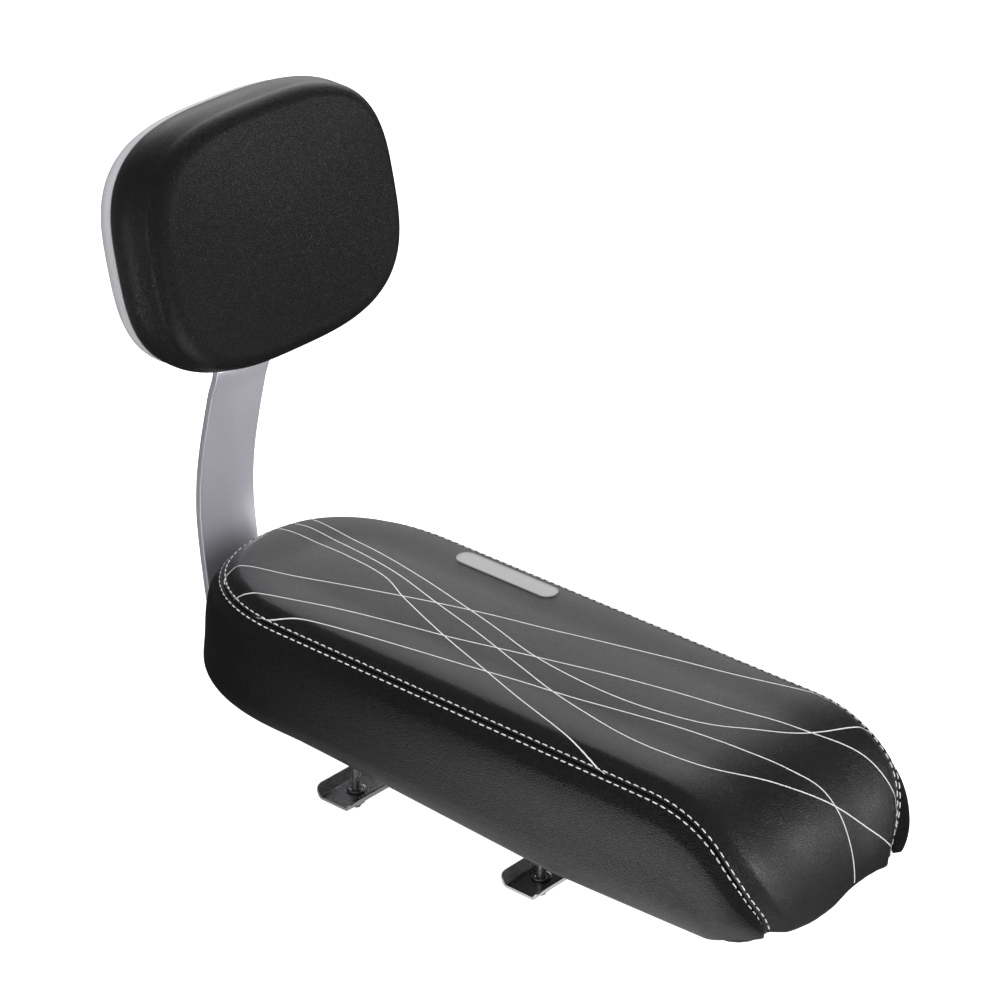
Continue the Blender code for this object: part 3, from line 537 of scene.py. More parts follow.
# Knots of the pinstripes on the flat panel, in mm: length from the cushion's rear and distance to the left
PINSTRIPES = (
    ("far_upper", ((2, 23), (8, 25), (19, 25), (40, 24), (70, 21), (104, 15), (135, 8), (164, 1), (198, -8),
                   (232, -12), (262, -12), (289, -8), (308, -2), (322, 7), (335, 19), (344, 35), (350, 51),
                   (355, 64))),
    ("far_middle", ((1, 12), (8, 14), (24, 17), (56, 15), (90, 10), (127, 0), (162, -9), (200, -20),
                   (229, -28), (254, -33), (281, -37), (305, -37), (329, -32), (354, -11), (375, 11),
                   (392, 27), (417, 50))),
    ("far_lower", ((1, 0), (6, 3), (13, 6), (33, 8), (63, 7), (89, 3), (111, -7), (149, -21), (184, -32),
                   (221, -44), (254, -53), (282, -61), (292, -64.5))),
    ("near_upper", ((25, -50), (22, -47), (20, -42), (22, -37), (40, -30), (69, -20), (98, -10), (127, 0),
                    (156, 9), (186, 17), (219, 27), (253, 36), (287, 44), (318, 54), (333, 61), (340, 65))),
    ("near_middle", ((38, -62), (39, -59), (41, -55), (48, -52), (66, -46), (94, -36), (124, -28), (156, -21),
                     (185, -13), (214, -5), (239, 2), (274, 10), (308, 17), (338, 28), (362, 44), (374, 49),
                     (392, 53), (417, 53))),
    ("near_lower", ((57, -65), (62, -64), (71, -61), (84, -56), (116, -49), (147, -43), (179, -37),
                   (209, -31), (240, -26), (260, -22), (295, -15), (330, -9), (350, 0), (365, 9),
                   (378, 12), (392, 13), (417, 14))),
)

# Inset from the badge's outline and height over the leather, from its foot to its field
BADGE_SECTION = ((0.0, -0.0001), (0.0, 0.0005), (0.00015, 0.00068), (0.00045, 0.00072), (0.0006, 0.0006),
                 (0.0007, 0.0005), (0.0020, 0.0005), (0.0040, 0.0005), (0.0059, 0.0005))


# Rise of the front's lower edge by its distance to the left, in mm
HEM_LIFT = ((-58.0, 5.6), (-51.0, 5.2), (-43.0, 3.3), (-35.0, 1.4), (-28.0, 0.0), (-21.0, -1.6),
            (-15.0, -2.3), (-8.0, -2.2), (-2.0, -1.5), (4.0, 0.2), (9.0, 1.7), (17.0, 2.9), (24.0, 3.6),
            (31.0, 3.4), (37.0, 2.2), (42.0, 1.3), (48.0, 1.4), (55.0, 2.2), (63.0, 2.6))


@dataclass(frozen=True)
class CushionForm:
    """Sizes and curves of the cushion's cover.

    The seam runs level round the rear and along both sides, and comes down over the rolled front.
    """

    length: float = 0.380
    width: float = 0.131
    seam_height: float = 0.064
    crown: float = 0.0045
    crown_power: float = 0.8
    rear_round: float = 0.080
    rear_power: float = 2.3
    roll_length: float = 0.062
    roll_power: float = 2.2
    corner_radius: float = 0.016
    side_bulge: float = 0.0065
    rear_bulge: float = 0.0117
    bulge_rise: float = 2.2
    hem_height: float = 0.016
    hem_tuck: tuple[float, float, float] = (0.0115, 0.0020, 0.0070)
    hem_places: tuple[float, float] = (-0.100, 0.075)
    gather_height: float = 0.028
    gather_front: tuple[float, float] = (0.165, 0.186)
    seam_blend: float = 0.004
    foam_inset: float = 0.0042
    stripe_half: float = 0.00031
    band_end: float = 0.003

    @property
    def rear(self) -> float:
        """x of the seam's rear end."""
        return -self.length / 2.0

    @property
    def front(self) -> float:
        """x of the front face."""
        return self.length / 2.0

    def roll(self, x: Array) -> Array:
        """Share of the rolled front that each x has passed."""
        return np.clip((x - self.front + self.roll_length) / self.roll_length, 0.0, 1.0)

    def height(self, x: Array) -> Array:
        """Height of the seam: level, then a superellipse over the front."""
        return self.seam_height * (1.0 - self.roll(x) ** self.roll_power) ** (1.0 / self.roll_power)

    def half(self, x: Array) -> Array:
        """Distance of the seam from the middle: a superellipse at the rear, arcs at the front corners."""
        back = np.clip((self.rear + self.rear_round - x) / self.rear_round, 0.0, 1.0)
        corner = np.clip(x - self.front + self.corner_radius, 0.0, self.corner_radius)
        rounded = self.width / 2.0 * (1.0 - back ** self.rear_power) ** (1.0 / self.rear_power)
        return rounded - self.corner_radius + np.sqrt(self.corner_radius ** 2 - corner ** 2)

    def view_normal(self, x: Array) -> Array:
        """Unit normals of the side view's curve, as vectors in space."""
        run, rise = self.roll(x), self.height(x) / self.seam_height
        forward = run ** (self.roll_power - 1.0) / self.roll_length
        upward = rise ** (self.roll_power - 1.0) / self.seam_height
        return unit(np.stack([forward, np.zeros_like(x), upward], -1))

    def plan_normal(self, x: Array) -> Array:
        """Unit normals of the seam's left half in plan, as vectors in space."""
        back = np.clip((self.rear + self.rear_round - x) / self.rear_round, 0.0, 1.0)
        wide = np.clip(self.half(x) / (self.width / 2.0), 1e-6, 1.0)
        corner = np.clip((x - self.front + self.corner_radius) / self.corner_radius, 0.0, 1.0)
        forward = np.where(back > 0.0, -back ** (self.rear_power - 1.0) / self.rear_round, corner)
        sideways = np.where(back > 0.0, wide ** (self.rear_power - 1.0) / (self.width / 2.0),
                            np.sqrt(1.0 - corner ** 2))
        return unit(np.stack([forward, sideways, np.zeros_like(x)], -1))

    def stations(self, step: float, lowest: float) -> Array:
        """x of evenly spaced points along the left seam, from the rear to a height of the front.

        A parameter runs 0 to 1 round the rear, to 2 along the side and to 3 down the roll, and is
        read off at even lengths of the seam.
        """
        end = math.acos((lowest / self.seam_height) ** (self.roll_power / 2.0))
        turn = np.radians(np.linspace(0.5, 90.0, 1200))
        rear = self.rear + self.rear_round * (1.0 - np.cos(turn) ** (2.0 / self.rear_power))
        start = self.front - self.roll_length
        side = np.linspace(rear[-1], start, 1200)[1:]
        over = np.linspace(0.0, end, 1600)[1:]
        front = start + self.roll_length * np.sin(over) ** (2.0 / self.roll_power)
        dense = np.r_[rear, side, front]
        seam = np.stack([dense, self.half(dense), self.height(dense)], 1)
        length = along(seam)
        return np.interp(np.linspace(0.0, length[-1], int(length[-1] / step) + 1), length, dense)

    def top(self, x: Array, across: Array) -> Array:
        """The top panel: crowned rows from the right seam to the left one.

        Args:
            x: Station of each row.
            across: Places over the width, from -1 to 1.

        Returns:
            Points by row and column.
        """
        half, level = self.half(x)[:, None], np.ones_like(across)
        points = np.stack([x[:, None] * level, half * across, self.height(x)[:, None] * level], 2)
        full = np.minimum(half / (self.width / 2.0), 1.0)
        rise = self.crown * full * (1.0 - across ** 2) ** self.crown_power
        return points + rise[:, :, None] * self.view_normal(x)[:, None, :]

    def side(self, x: Array, share: Array, inward: float = 0.0) -> Array:
        """The side's left half: a column down from the seam for each station.

        It stands out by a power of its height below the seam, and rounds in again at the hem by a parabola.

        Args:
            x: Station of each column.
            share: Places from 0 at the seam to 1 at the underside.
            inward: Distance to move the surface in.

        Returns:
            Points by station and share.
        """
        full = self.height(x)[:, None]
        normal = self.plan_normal(x)
        z = full * (1.0 - share)
        most = self.side_bulge + (self.rear_bulge - self.side_bulge) * np.clip(-normal[:, :1], 0.0, 1.0)
        out = most * full / self.seam_height * (1.0 - (1.0 - share) ** self.bulge_rise)
        tuck = np.interp(x, (*self.hem_places, self.front), self.hem_tuck)[:, None]
        hem = np.minimum(self.hem_height, full / 2.0)
        out = out - tuck * full / self.seam_height * np.clip(1.0 - z / hem, 0.0, 1.0) ** 2 - inward
        base = np.stack([x, self.half(x), np.zeros_like(x)], 1)[:, None, :]
        lift = np.stack([np.zeros_like(z), np.zeros_like(z), z], 2)
        return base + out[:, :, None] * normal[:, None, :] + lift


@dataclass(frozen=True)
class SeamDetail:
    """Cross-section of the sewn seam, with a row of stitches on each side of it."""

    row_offset: float = 0.0028
    groove_depth: float = 0.0016
    groove_width: float = 0.0008
    sunk: float = 0.0009
    sunk_edge: tuple[float, float] = (0.0030, 0.0070)
    puff: float = 0.0024
    puff_rise: tuple[float, float] = (0.0040, 0.0110)
    puff_fall: tuple[float, float] = (0.0110, 0.0400)
    trough_depth: float = 0.0004
    trough_width: float = 0.0006
    pitch: float = 0.0047
    scallop: float = 0.0003

    def depth(self, distance: Array, place: Array) -> Array:
        """How far the cover lies under its plain surface near the seam.

        A groove at the seam, a sunken strip to beyond the stitches, a trough under them, a small swelling
        between one stitch hole and the next, and the foam's fullness beyond.

        Args:
            distance: Distance from the seam.
            place: Length along the seam.

        Returns:
            Depth at each point.
        """
        strip = self.sunk * (1.0 - ramp(*self.sunk_edge, distance))
        groove = self.groove_depth * dip(distance, 0.0, self.groove_width)
        trough = self.trough_depth * dip(distance, self.row_offset, self.trough_width)
        waves = 0.5 - 0.5 * np.cos(math.tau * place / self.pitch)
        swell = self.scallop * waves * dip(distance, self.row_offset + 0.0016, 0.0018)
        full = self.puff * ramp(*self.puff_rise, distance) * (1.0 - ramp(*self.puff_fall, distance))
        return strip + groove + trough - swell - full


@dataclass(frozen=True)
class Swelling:
    """Cloth simulation that swells a skin between its held edges.

    The skin is simulated as a coarse open grid, and its movement is read back on the fine one.
    """

    pressure: float = 3.0
    frames: int = 18
    cap: float = 0.0020
    stiffness: float = 18.0
    quality: int = 6
    mass: float = 0.25
    bending: float = 0.6
    damping: float = 4.0

    def run(self, name: str, coarse: Array, down: Array, over: Array) -> Array:
        """Simulates the coarse grid.

        Args:
            name: Name of the temporary object.
            coarse: Points by row and column.
            down: Fractional row of each row of the fine grid.
            over: Fractional column of each of its columns.

        Returns:
            Movement of each point of the fine grid, capped and softened.
        """
        rows, columns = coarse.shape[:2]
        mesh = bpy.data.meshes.new(name)
        mesh.from_pydata(coarse.reshape(-1, 3).tolist(), [], grid_faces(rows, columns)[:, ::-1].tolist())
        skin = put(name, mesh)
        scene = bpy.context.scene
        held = np.ones((rows, columns), bool)
        held[1:-1, 1:-1] = False
        group = skin.vertex_groups.new(name="held")
        group.add(np.flatnonzero(held.ravel()).tolist(), 1.0, 'REPLACE')
        cloth = skin.modifiers.new("cloth", 'CLOTH')
        settings = cloth.settings
        settings.vertex_group_mass = "held"
        settings.quality = self.quality
        settings.mass = self.mass
        settings.tension_stiffness = self.stiffness
        settings.compression_stiffness = self.stiffness
        settings.shear_stiffness = self.stiffness / 2.0
        settings.bending_stiffness = self.bending
        settings.air_damping = self.damping
        settings.use_pressure = True
        settings.uniform_pressure_force = self.pressure
        settings.effector_weights.gravity = 0.0
        cloth.collision_settings.use_collision = False
        cloth.point_cache.frame_start = 1
        cloth.point_cache.frame_end = self.frames
        for frame in range(1, self.frames + 1):
            scene.frame_set(frame)
        graph = bpy.context.evaluated_depsgraph_get()
        swollen = skin.evaluated_get(graph).to_mesh()
        flat = np.empty(len(swollen.vertices) * 3, dtype=np.float32)
        swollen.vertices.foreach_get("co", flat)
        moved = flat.reshape(rows, columns, 3).astype(float) - coarse
        bpy.data.objects.remove(skin, do_unlink=True)
        bpy.data.meshes.remove(mesh)
        scene.frame_set(1)
        size = np.linalg.norm(moved, axis=2, keepdims=True)
        soft = self.cap * np.tanh(size / self.cap)
        LOG.info("%s swelled by up to %.2f mm", name, float(soft.max()) / MM)
        capped_move = np.where(size > 1e-9, moved / np.maximum(size, 1e-9) * soft, 0.0)
        return refine(soften(capped_move, 2), *np.meshgrid(down, over, indexing="ij"))


def refine(values: Array, rows: Array, columns: Array) -> Array:
    """Reads a grid of vectors at fractional rows and columns, straight between its points.

    Args:
        values: Vectors by row and column.
        rows: Fractional row of each point wanted.
        columns: Fractional column of each.

    Returns:
        Vectors in the shape of rows.
    """
    r = np.clip(rows, 0.0, values.shape[0] - 1.000001)
    c = np.clip(columns, 0.0, values.shape[1] - 1.000001)
    r0, c0 = r.astype(int), c.astype(int)
    fr, fc = (r - r0)[..., None], (c - c0)[..., None]
    low = values[r0, c0] * (1.0 - fc) + values[r0, c0 + 1] * fc
    high = values[r0 + 1, c0] * (1.0 - fc) + values[r0 + 1, c0 + 1] * fc
    return low * (1.0 - fr) + high * fr


def soften(values: Array, passes: int) -> Array:
    """Averages a grid of vectors with its neighbours, with its edges held."""
    out = values.copy()
    for _ in range(passes):
        out[1:-1, 1:-1] = (out[1:-1, 1:-1] * 4.0 + out[:-2, 1:-1] + out[2:, 1:-1]
                           + out[1:-1, :-2] + out[1:-1, 2:]) / 8.0
    return out


class SkinGrid:
    """A finished skin as a grid, on which other pieces are laid by length and distance."""

    def __init__(self, points: Array, rows: Array, columns: Array) -> None:
        """Keeps the grid.

        Args:
            points: Points by row and column.
            rows: Value of the lengthwise coordinate for each row, rising.
            columns: Value of the crosswise coordinate for each column, rising.
        """
        self.points, self.rows, self.columns = points, rows, columns
        gradient_r = np.gradient(points, axis=0)
        gradient_c = np.gradient(points, axis=1)
        self.normals = unit(np.cross(gradient_r, gradient_c))

    def at(self, lengthwise: Array, crosswise: Array) -> tuple[Array, Array]:
        """Points and normals of the skin at given coordinates."""
        r = np.interp(lengthwise, self.rows, np.arange(len(self.rows)))
        c = np.interp(crosswise, self.columns, np.arange(len(self.columns)))
        return refine(self.points, r, c), unit(refine(self.normals, r, c))


@dataclass(frozen=True)
class Stitching:
    """A row of thread stitches."""

    pitch: float = 0.0047
    length: float = 0.0037
    radius: float = 0.00036
    height: float = 0.00022
    steps: int = 6
    around: int = 8

    def mesh(self, line: Array, normals: Array) -> tuple[Array, Array]:
        """Stitches laid end to end along a line on a skin.

        Each stitch is a tube whose middle stands proud and whose ends taper into the leather.

        Args:
            line: Points of the row.
            normals: The skin's normals there.

        Returns:
            Points and quads of all stitches.
        """
        length = along(line)
        count = int(length[-1] / self.pitch)
        starts = (np.arange(count) + 0.5) * length[-1] / count - self.length / 2.0
        share = np.linspace(0.0, 1.0, self.steps + 1)
        places = starts[:, None] + share * self.length
        centre = np.stack([np.interp(places, length, line[:, i]) for i in range(3)], -1)
        up = unit(np.stack([np.interp(places, length, normals[:, i]) for i in range(3)], -1))
        forward = unit(np.gradient(centre, axis=1))
        aside = unit(np.cross(forward, up))
        arch = 1.0 - (2.0 * share - 1.0) ** 4
        centre = centre + up * (self.height * (2.2 * arch - 1.0))[None, :, None]
        radius = self.radius * np.sqrt(np.clip(arch, 0.0, 1.0)) * 0.9 + self.radius * 0.1 * (arch > 0.0)
        angle = np.linspace(0.0, math.tau, self.around, endpoint=False)
        ring = (np.cos(angle)[None, None, :, None] * aside[:, :, None, :]
                + np.sin(angle)[None, None, :, None] * up[:, :, None, :] * 0.85)
        points = centre[:, :, None, :] + ring * radius[None, :, None, None]
        single = grid_faces(self.steps + 1, self.around, closed=True)
        block = (self.steps + 1) * self.around
        faces = (single[None] + (np.arange(count) * block)[:, None, None]).reshape(-1, 4)
        return points, faces


class Cushion:
    """The sewn cushion: two skins, their stitches, the pinstripes, the badge and the foam."""

    def __init__(self, form: CushionForm, seam: SeamDetail, finishes: Finishes) -> None:
        """Keeps the form and works out the skins' coordinates.

        Args:
            form: Sizes and curves of the cover.
            seam: Cross-section of the seam.
            finishes: The materials.
        """
        self.form, self.seam, self.finishes = form, seam, finishes
        self.step = 0.0012
        self.x = form.stations(self.step, 0.0)
        self.across = self._columns(112)
        self.top_grid: SkinGrid
        self.band_grid: SkinGrid

    @staticmethod
    def _columns(count: int) -> Array:
        """Places over the width, closer near the seams."""
        share = np.linspace(-1.0, 1.0, count + 1)
        return share * 1.33 - 0.33 * share ** 3

    def _seam_line(self) -> tuple[Array, Array]:
        """The left seam as unrolled length and offset, and the length along it."""
        seam = np.stack([self.x, self.form.half(self.x), self.form.height(self.x)], 1)
        unrolled = along(seam[:, [0, 2]])
        return np.stack([unrolled, seam[:, 1]], 1), along(seam)

    def _seam_distance(self, lengthwise: Array, crosswise: Array) -> tuple[Array, Array]:
        """Distance of unrolled points from the nearer seam, and the length along the seam there.

        Args:
            lengthwise: Unrolled length of each point.
            crosswise: Distance of each from the middle line, either side.

        Returns:
            Distance and place along the seam.
        """
        seam, place = self._seam_line()
        points = np.stack([lengthwise.ravel(), np.abs(crosswise).ravel()], 1)
        distance = np.empty(len(points))
        nearest = np.empty(len(points))
        for part in np.array_split(np.arange(len(points)), max(1, len(points) // 4000)):
            gaps = np.hypot(*np.moveaxis(points[part, None] - seam[None], 2, 0))
            close = gaps.argmin(1)
            distance[part] = gaps[np.arange(len(part)), close]
            nearest[part] = place[close]
        return distance.reshape(lengthwise.shape), nearest.reshape(lengthwise.shape)

    def _swelling_of_top(self) -> Array:
        """Movement of the top panel in a coarse simulation, read on its fine grid."""
        rows, columns = 72, 28
        x = np.interp(np.linspace(0.0, 1.0, rows), np.linspace(0.0, 1.0, len(self.x)), self.x)
        coarse = self.form.top(x, self._columns(columns - 1))
        down, over = np.linspace(0, rows - 1, len(self.x)), np.linspace(0, columns - 1, len(self.across))
        return Swelling(pressure=9.0, cap=0.0020).run("top_swelling", coarse, down, over)

    def build_top(self) -> None:
        """Top panel: swollen by the simulation, sunk and grooved along its seams."""
        form, x, across = self.form, self.x, self.across
        points = form.top(x, across)
        seam, _ = self._seam_line()
        unrolled = np.repeat(seam[:, :1], len(across), 1)
        aside = form.half(x)[:, None] * across
        distance, place = self._seam_distance(unrolled, aside)
        points = points + self._swelling_of_top()
        up = np.repeat(form.view_normal(x)[:, None, :], len(across), 1)
        out = np.repeat(form.plan_normal(x)[:, None, :], len(across), 1)
        out[:, :, 1] *= np.sign(across)[None, :]
        both = unit(up + out)
        blend = ramp(0.0, form.seam_blend, distance)[:, :, None]
        direction = unit(both * (1.0 - blend) + up * blend)
        points = points - direction * self.seam.depth(distance, place)[:, :, None]
        self._pull_up(points)
        self.top_grid = SkinGrid(points, seam[:, 0], across)
        skin = self._skin("seat_top_skin", points, self.finishes.leather)
        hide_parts("seat_top_panel")

    @staticmethod
    def _skin(name: str, points: Array, leather: Material) -> Piece:
        """A leather skin on a grid, with its thickness inside."""
        faces = grid_faces(*points.shape[:2])[:, ::-1]
        skin = mesh_piece(name, points, faces, leather, Slot.LEATHER, outward=False)
        thicken(skin, LEATHER_WALL)
        return skin

    def _pull_up(self, points: Array) -> None:
        """Pulls the front's lower edge up or lets it down, as the leather is gathered over the board.

        Args:
            points: Points of either skin, moved in place.
        """
        across, lift = np.array(HEM_LIFT).T * MM
        level = 1.0 - ramp(0.0, self.form.gather_height, points[..., 2])
        front = ramp(*self.form.gather_front, points[..., 0])
        points[..., 2] += np.interp(points[..., 1], across, lift) * level * front

    def build_band(self) -> None:
        """Side band: one skin round both sides and the rear, from the seam down to the hem."""
        form = self.form
        x = form.stations(self.step, form.band_end)
        share = np.linspace(0.0, 1.0, 49) ** 1.25
        left = form.side(x, share)
        seam = np.stack([x, form.half(x), form.height(x)], 1)
        place = along(seam)
        depth = form.height(x)[:, None] * share
        up = form.view_normal(x)[:, None, :]
        out = form.plan_normal(x)[:, None, :]
        blend = ramp(0.0, form.seam_blend, depth)[:, :, None]
        direction = unit(unit(up + out) * (1.0 - blend) + out * blend)
        left = left + self._swelling_of_band(x, share)
        left = left - direction * self.seam.depth(depth, place[:, None])[:, :, None]
        points = np.concatenate([left[::-1] * FLIP_Y, left])
        self._pull_up(points)
        places = np.r_[-place[::-1], place]
        places = places + np.linspace(0.0, 1e-6, len(places))
        self.band_grid = SkinGrid(points[:, ::-1], places, -form.seam_height * share[::-1])
        skin = self._skin("seat_side_skin", points, self.finishes.side_leather)
        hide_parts("seat_side_band")

    def _swelling_of_band(self, x: Array, share: Array) -> Array:
        """Movement of the left side in a coarse simulation, read on its fine grid."""
        rows, columns = 96, 12
        coarse_x = np.interp(np.linspace(0.0, 1.0, rows), np.linspace(0.0, 1.0, len(x)), x)
        coarse = self.form.side(coarse_x, np.linspace(0.0, 1.0, columns))
        swelling = Swelling(pressure=7.0, cap=0.0016)
        return swelling.run("side_swelling", coarse, np.linspace(0, rows - 1, len(x)), share * (columns - 1))

    def build_stitches(self) -> None:
        """A row of white stitches on each side of the seam."""
        offset = self.seam.row_offset
        seam, _ = self._seam_line()
        turn = unit(np.gradient(seam, axis=0))
        inner = seam + np.stack([turn[:, 1], -turn[:, 0]], 1) * offset
        inner = inner[inner[:, 1] > 0.0008]
        both = np.concatenate([inner[::-1] * FLIP_Y[:2], inner])
        half = np.interp(both[:, 0], seam[:, 0], seam[:, 1])
        line, normals = self.top_grid.at(both[:, 0], both[:, 1] / half)
        stitching = Stitching(pitch=self.seam.pitch)
        thread = self.finishes.thread
        mesh_piece("seat_stitches_inner", *stitching.mesh(line, normals), thread, Slot.LEATHER, weld=WELD)
        places = np.linspace(self.band_grid.rows[0], self.band_grid.rows[-1], 900)
        line, normals = self.band_grid.at(places, np.full_like(places, -offset))
        mesh_piece("seat_stitches_outer", *stitching.mesh(line, -normals), thread, Slot.LEATHER, weld=WELD)

    def build_stripes(self) -> None:
        """The crossing pinstripes, printed on the flat panel before it was sewn."""
        for name, knots in PINSTRIPES:
            line = smooth_line(knots, 1.5) * MM
            points, faces = self._ribbon(line, self.form.stripe_half)
            mesh_piece("seat_pinstripe_" + name, points, faces, self.finishes.stripe, Slot.LEATHER)

    def _ribbon(self, line: Array, half_width: float) -> tuple[Array, Array]:
        """A thin raised print along a line on the top panel.

        Args:
            line: Points of unrolled length and distance from the middle line.
            half_width: Half the print's width.

        Returns:
            Points and quads.
        """
        seam, _ = self._seam_line()
        turn = unit(np.gradient(line, axis=0))
        aside = np.stack([-turn[:, 1], turn[:, 0]], 1)
        across = np.array([-1.15, -1.0, -0.4, 0.4, 1.0, 1.15])
        rise = np.array([-0.00012, 0.00004, 0.00007, 0.00007, 0.00004, -0.00012])
        flat = line[:, None, :] + aside[:, None, :] * (across * half_width)[None, :, None]
        half = np.interp(flat[:, :, 0], seam[:, 0], seam[:, 1])
        place = np.clip(flat[:, :, 1] / half, -0.995, 0.995)
        skin, normals = self.top_grid.at(flat[:, :, 0].ravel(), place.ravel())
        lifted = skin + normals * np.tile(rise, len(line))[:, None]
        return lifted.reshape(len(line), len(across), 3), grid_faces(len(line), len(across))

    def build_badge(self) -> None:
        """Bare stadium badge with a raised rim, bent to the top panel."""
        box = [np.array(corner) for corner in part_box("seat_badge")]
        centre, size = (box[0] + box[1]) / 2.0, box[1] - box[0]
        radius, straight = size[1] / 2.0, (size[0] - size[1]) / 2.0
        angle = np.linspace(0.0, math.tau, 128, endpoint=False)
        rings = []
        for inset, height in BADGE_SECTION:
            arc = radius - inset
            rings.append(np.stack([centre[0] + np.sign(np.cos(angle)) * straight + arc * np.cos(angle),
                                   centre[1] + arc * np.sin(angle), np.full_like(angle, height)], 1))
        spine = np.stack([centre[0] + np.cos(angle) * straight, np.full_like(angle, centre[1]),
                          np.full_like(angle, BADGE_SECTION[-1][1])], 1)
        rings.append(spine)
        flat = np.stack(rings)
        straight_from = self.form.rear + self.form.rear_round
        lengthwise = flat[:, :, 0] - straight_from
        lengthwise = lengthwise + np.interp(straight_from, self.x, self._seam_line()[0][:, 0])
        half = self.form.width / 2.0
        skin, normals = self.top_grid.at(lengthwise.ravel(), flat[:, :, 1].ravel() / half)
        points = skin + normals * flat[:, :, 2].reshape(-1, 1)
        badge = tube("seat_badge_plate", points.reshape(flat.shape), self.finishes.foil, Slot.BADGE)
        sharpen(badge, 50.0)
        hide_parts("seat_badge")

    def build_foam(self) -> None:
        """Foam block inside the cover: closed sections from the rear to the front."""
        form, inset = self.form, self.form.foam_inset
        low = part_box("seat_foam")[0][2]
        x = form.stations(0.006, low * 1.3)[1:]
        normal, view = form.plan_normal(x), form.view_normal(x)
        across = self._columns(24)
        top = form.top(x, across) - inset * view[:, None, :]
        edge = (across ** 2)[None, :]
        top[:, :, 0] -= inset * normal[:, :1] * edge
        top[:, :, 1] *= (1.0 - inset * normal[:, 1] / form.half(x))[:, None]
        top[:, :, 2] = np.maximum(top[:, :, 2], low)
        side = form.side(x, np.linspace(0.0, 1.0, 12), inset)[:, 1:]
        side[:, :, 2] = np.clip(side[:, :, 2], low, top[:, -1, 2][:, None])
        loop = np.concatenate([side[:, ::-1] * FLIP_Y, top, side], axis=1)
        share = np.linspace(0.0, 1.0, 8)[1:-1][None, :, None]
        under = loop[:, -1:] * (1.0 - share) + loop[:, :1] * share
        ring = capped(np.concatenate([loop, under], axis=1))
        foam = tube("seat_foam_block", ring, self.finishes.foam, Slot.FOAM)
        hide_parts("seat_foam")


# Turned and folded metal


def turned(name: str, profile: Sequence[Sequence[float]], finish: Material, slot: Slot,
           around: int = 48, flats: float = 0.0, closed: bool = False, crisp: float = 35.0,
           frame: Matrix | None = None) -> Piece:
    """A turned piece along Z, or a hexagonal one.

    Args:
        name: The piece's name.
        profile: Radius and height of each point, from one end to the other. With flats, a radius at or
            over half the flats follows the hexagon, and is bevelled where it gives the corner's radius.
        finish: The piece's material.
        slot: The record's slot.
        around: Points round the axis.
        flats: Width across a hexagon's flats, or zero for a round piece.
        closed: Whether the profile is a ring, as for a washer.
        crisp: Angle over which edges stay sharp.
        frame: Place of the piece, or none for the origin.

    Returns:
        The new object.
    """
    section = np.array(profile, float)
    if closed:
        section = np.vstack([section, section[:1]])
    angle = np.linspace(0.0, math.tau, around, endpoint=False)
    radius = np.repeat(section[:, :1], around, 1)
    if flats > 0.0:
        sector = np.mod(angle + math.pi / 6.0, math.pi / 3.0) - math.pi / 6.0
        radius = np.minimum(radius, flats / 2.0 / np.cos(sector)[None, :])
    height = np.repeat(section[:, 1:], around, 1)
    points = np.stack([radius * np.cos(angle), radius * np.sin(angle), height], 2)
    made = tube(name, placed(points, frame), finish, slot)
    sharpen(made, crisp)
    return made


def placed(points: Array, frame: Matrix | None) -> Array:
    """Points moved and turned by a frame."""
    if frame is None:
        return points
    turn = np.array(frame)
    return points @ turn[:3, :3].T + turn[:3, 3]


def carve(piece: Piece, points: Array) -> None:
    """Cuts a prism out of a piece.

    Args:
        piece: The piece.
        points: The prism's outline at its low and its high end.
    """
    mesh = bpy.data.meshes.new("cutter")
    sides = points.shape[1]
    faces = [tuple(range(sides)), tuple(range(sides, 2 * sides))]
    faces += [(i, (i + 1) % sides, sides + (i + 1) % sides, sides + i) for i in range(sides)]
    mesh.from_pydata(points.reshape(-1, 3).tolist(), [], faces)
    with edited(mesh) as work:
        bmesh.ops.recalc_face_normals(work, faces=work.faces)
    cutter = put("cutter", mesh)
    cut = piece.modifiers.new("cut", 'BOOLEAN')
    cut.solver = 'EXACT'
    cut.object = cutter
    apply_modifiers(piece)
    bpy.data.objects.remove(cutter, do_unlink=True)
    bpy.data.meshes.remove(mesh)


def prism(outline: Array, low: float, high: float, frame: Matrix | None = None) -> Array:
    """Outline of two columns at two heights, in a frame."""
    ends = [np.c_[outline, np.full(len(outline), height)] for height in (low, high)]
    return placed(np.stack(ends), frame)


def polygon(radius: float, sides: int, turn: float = 0.0) -> Array:
    """Corners of a regular polygon."""
    angle = turn + np.linspace(0.0, math.tau, sides, endpoint=False)
    return np.stack([radius * np.cos(angle), radius * np.sin(angle)], 1)


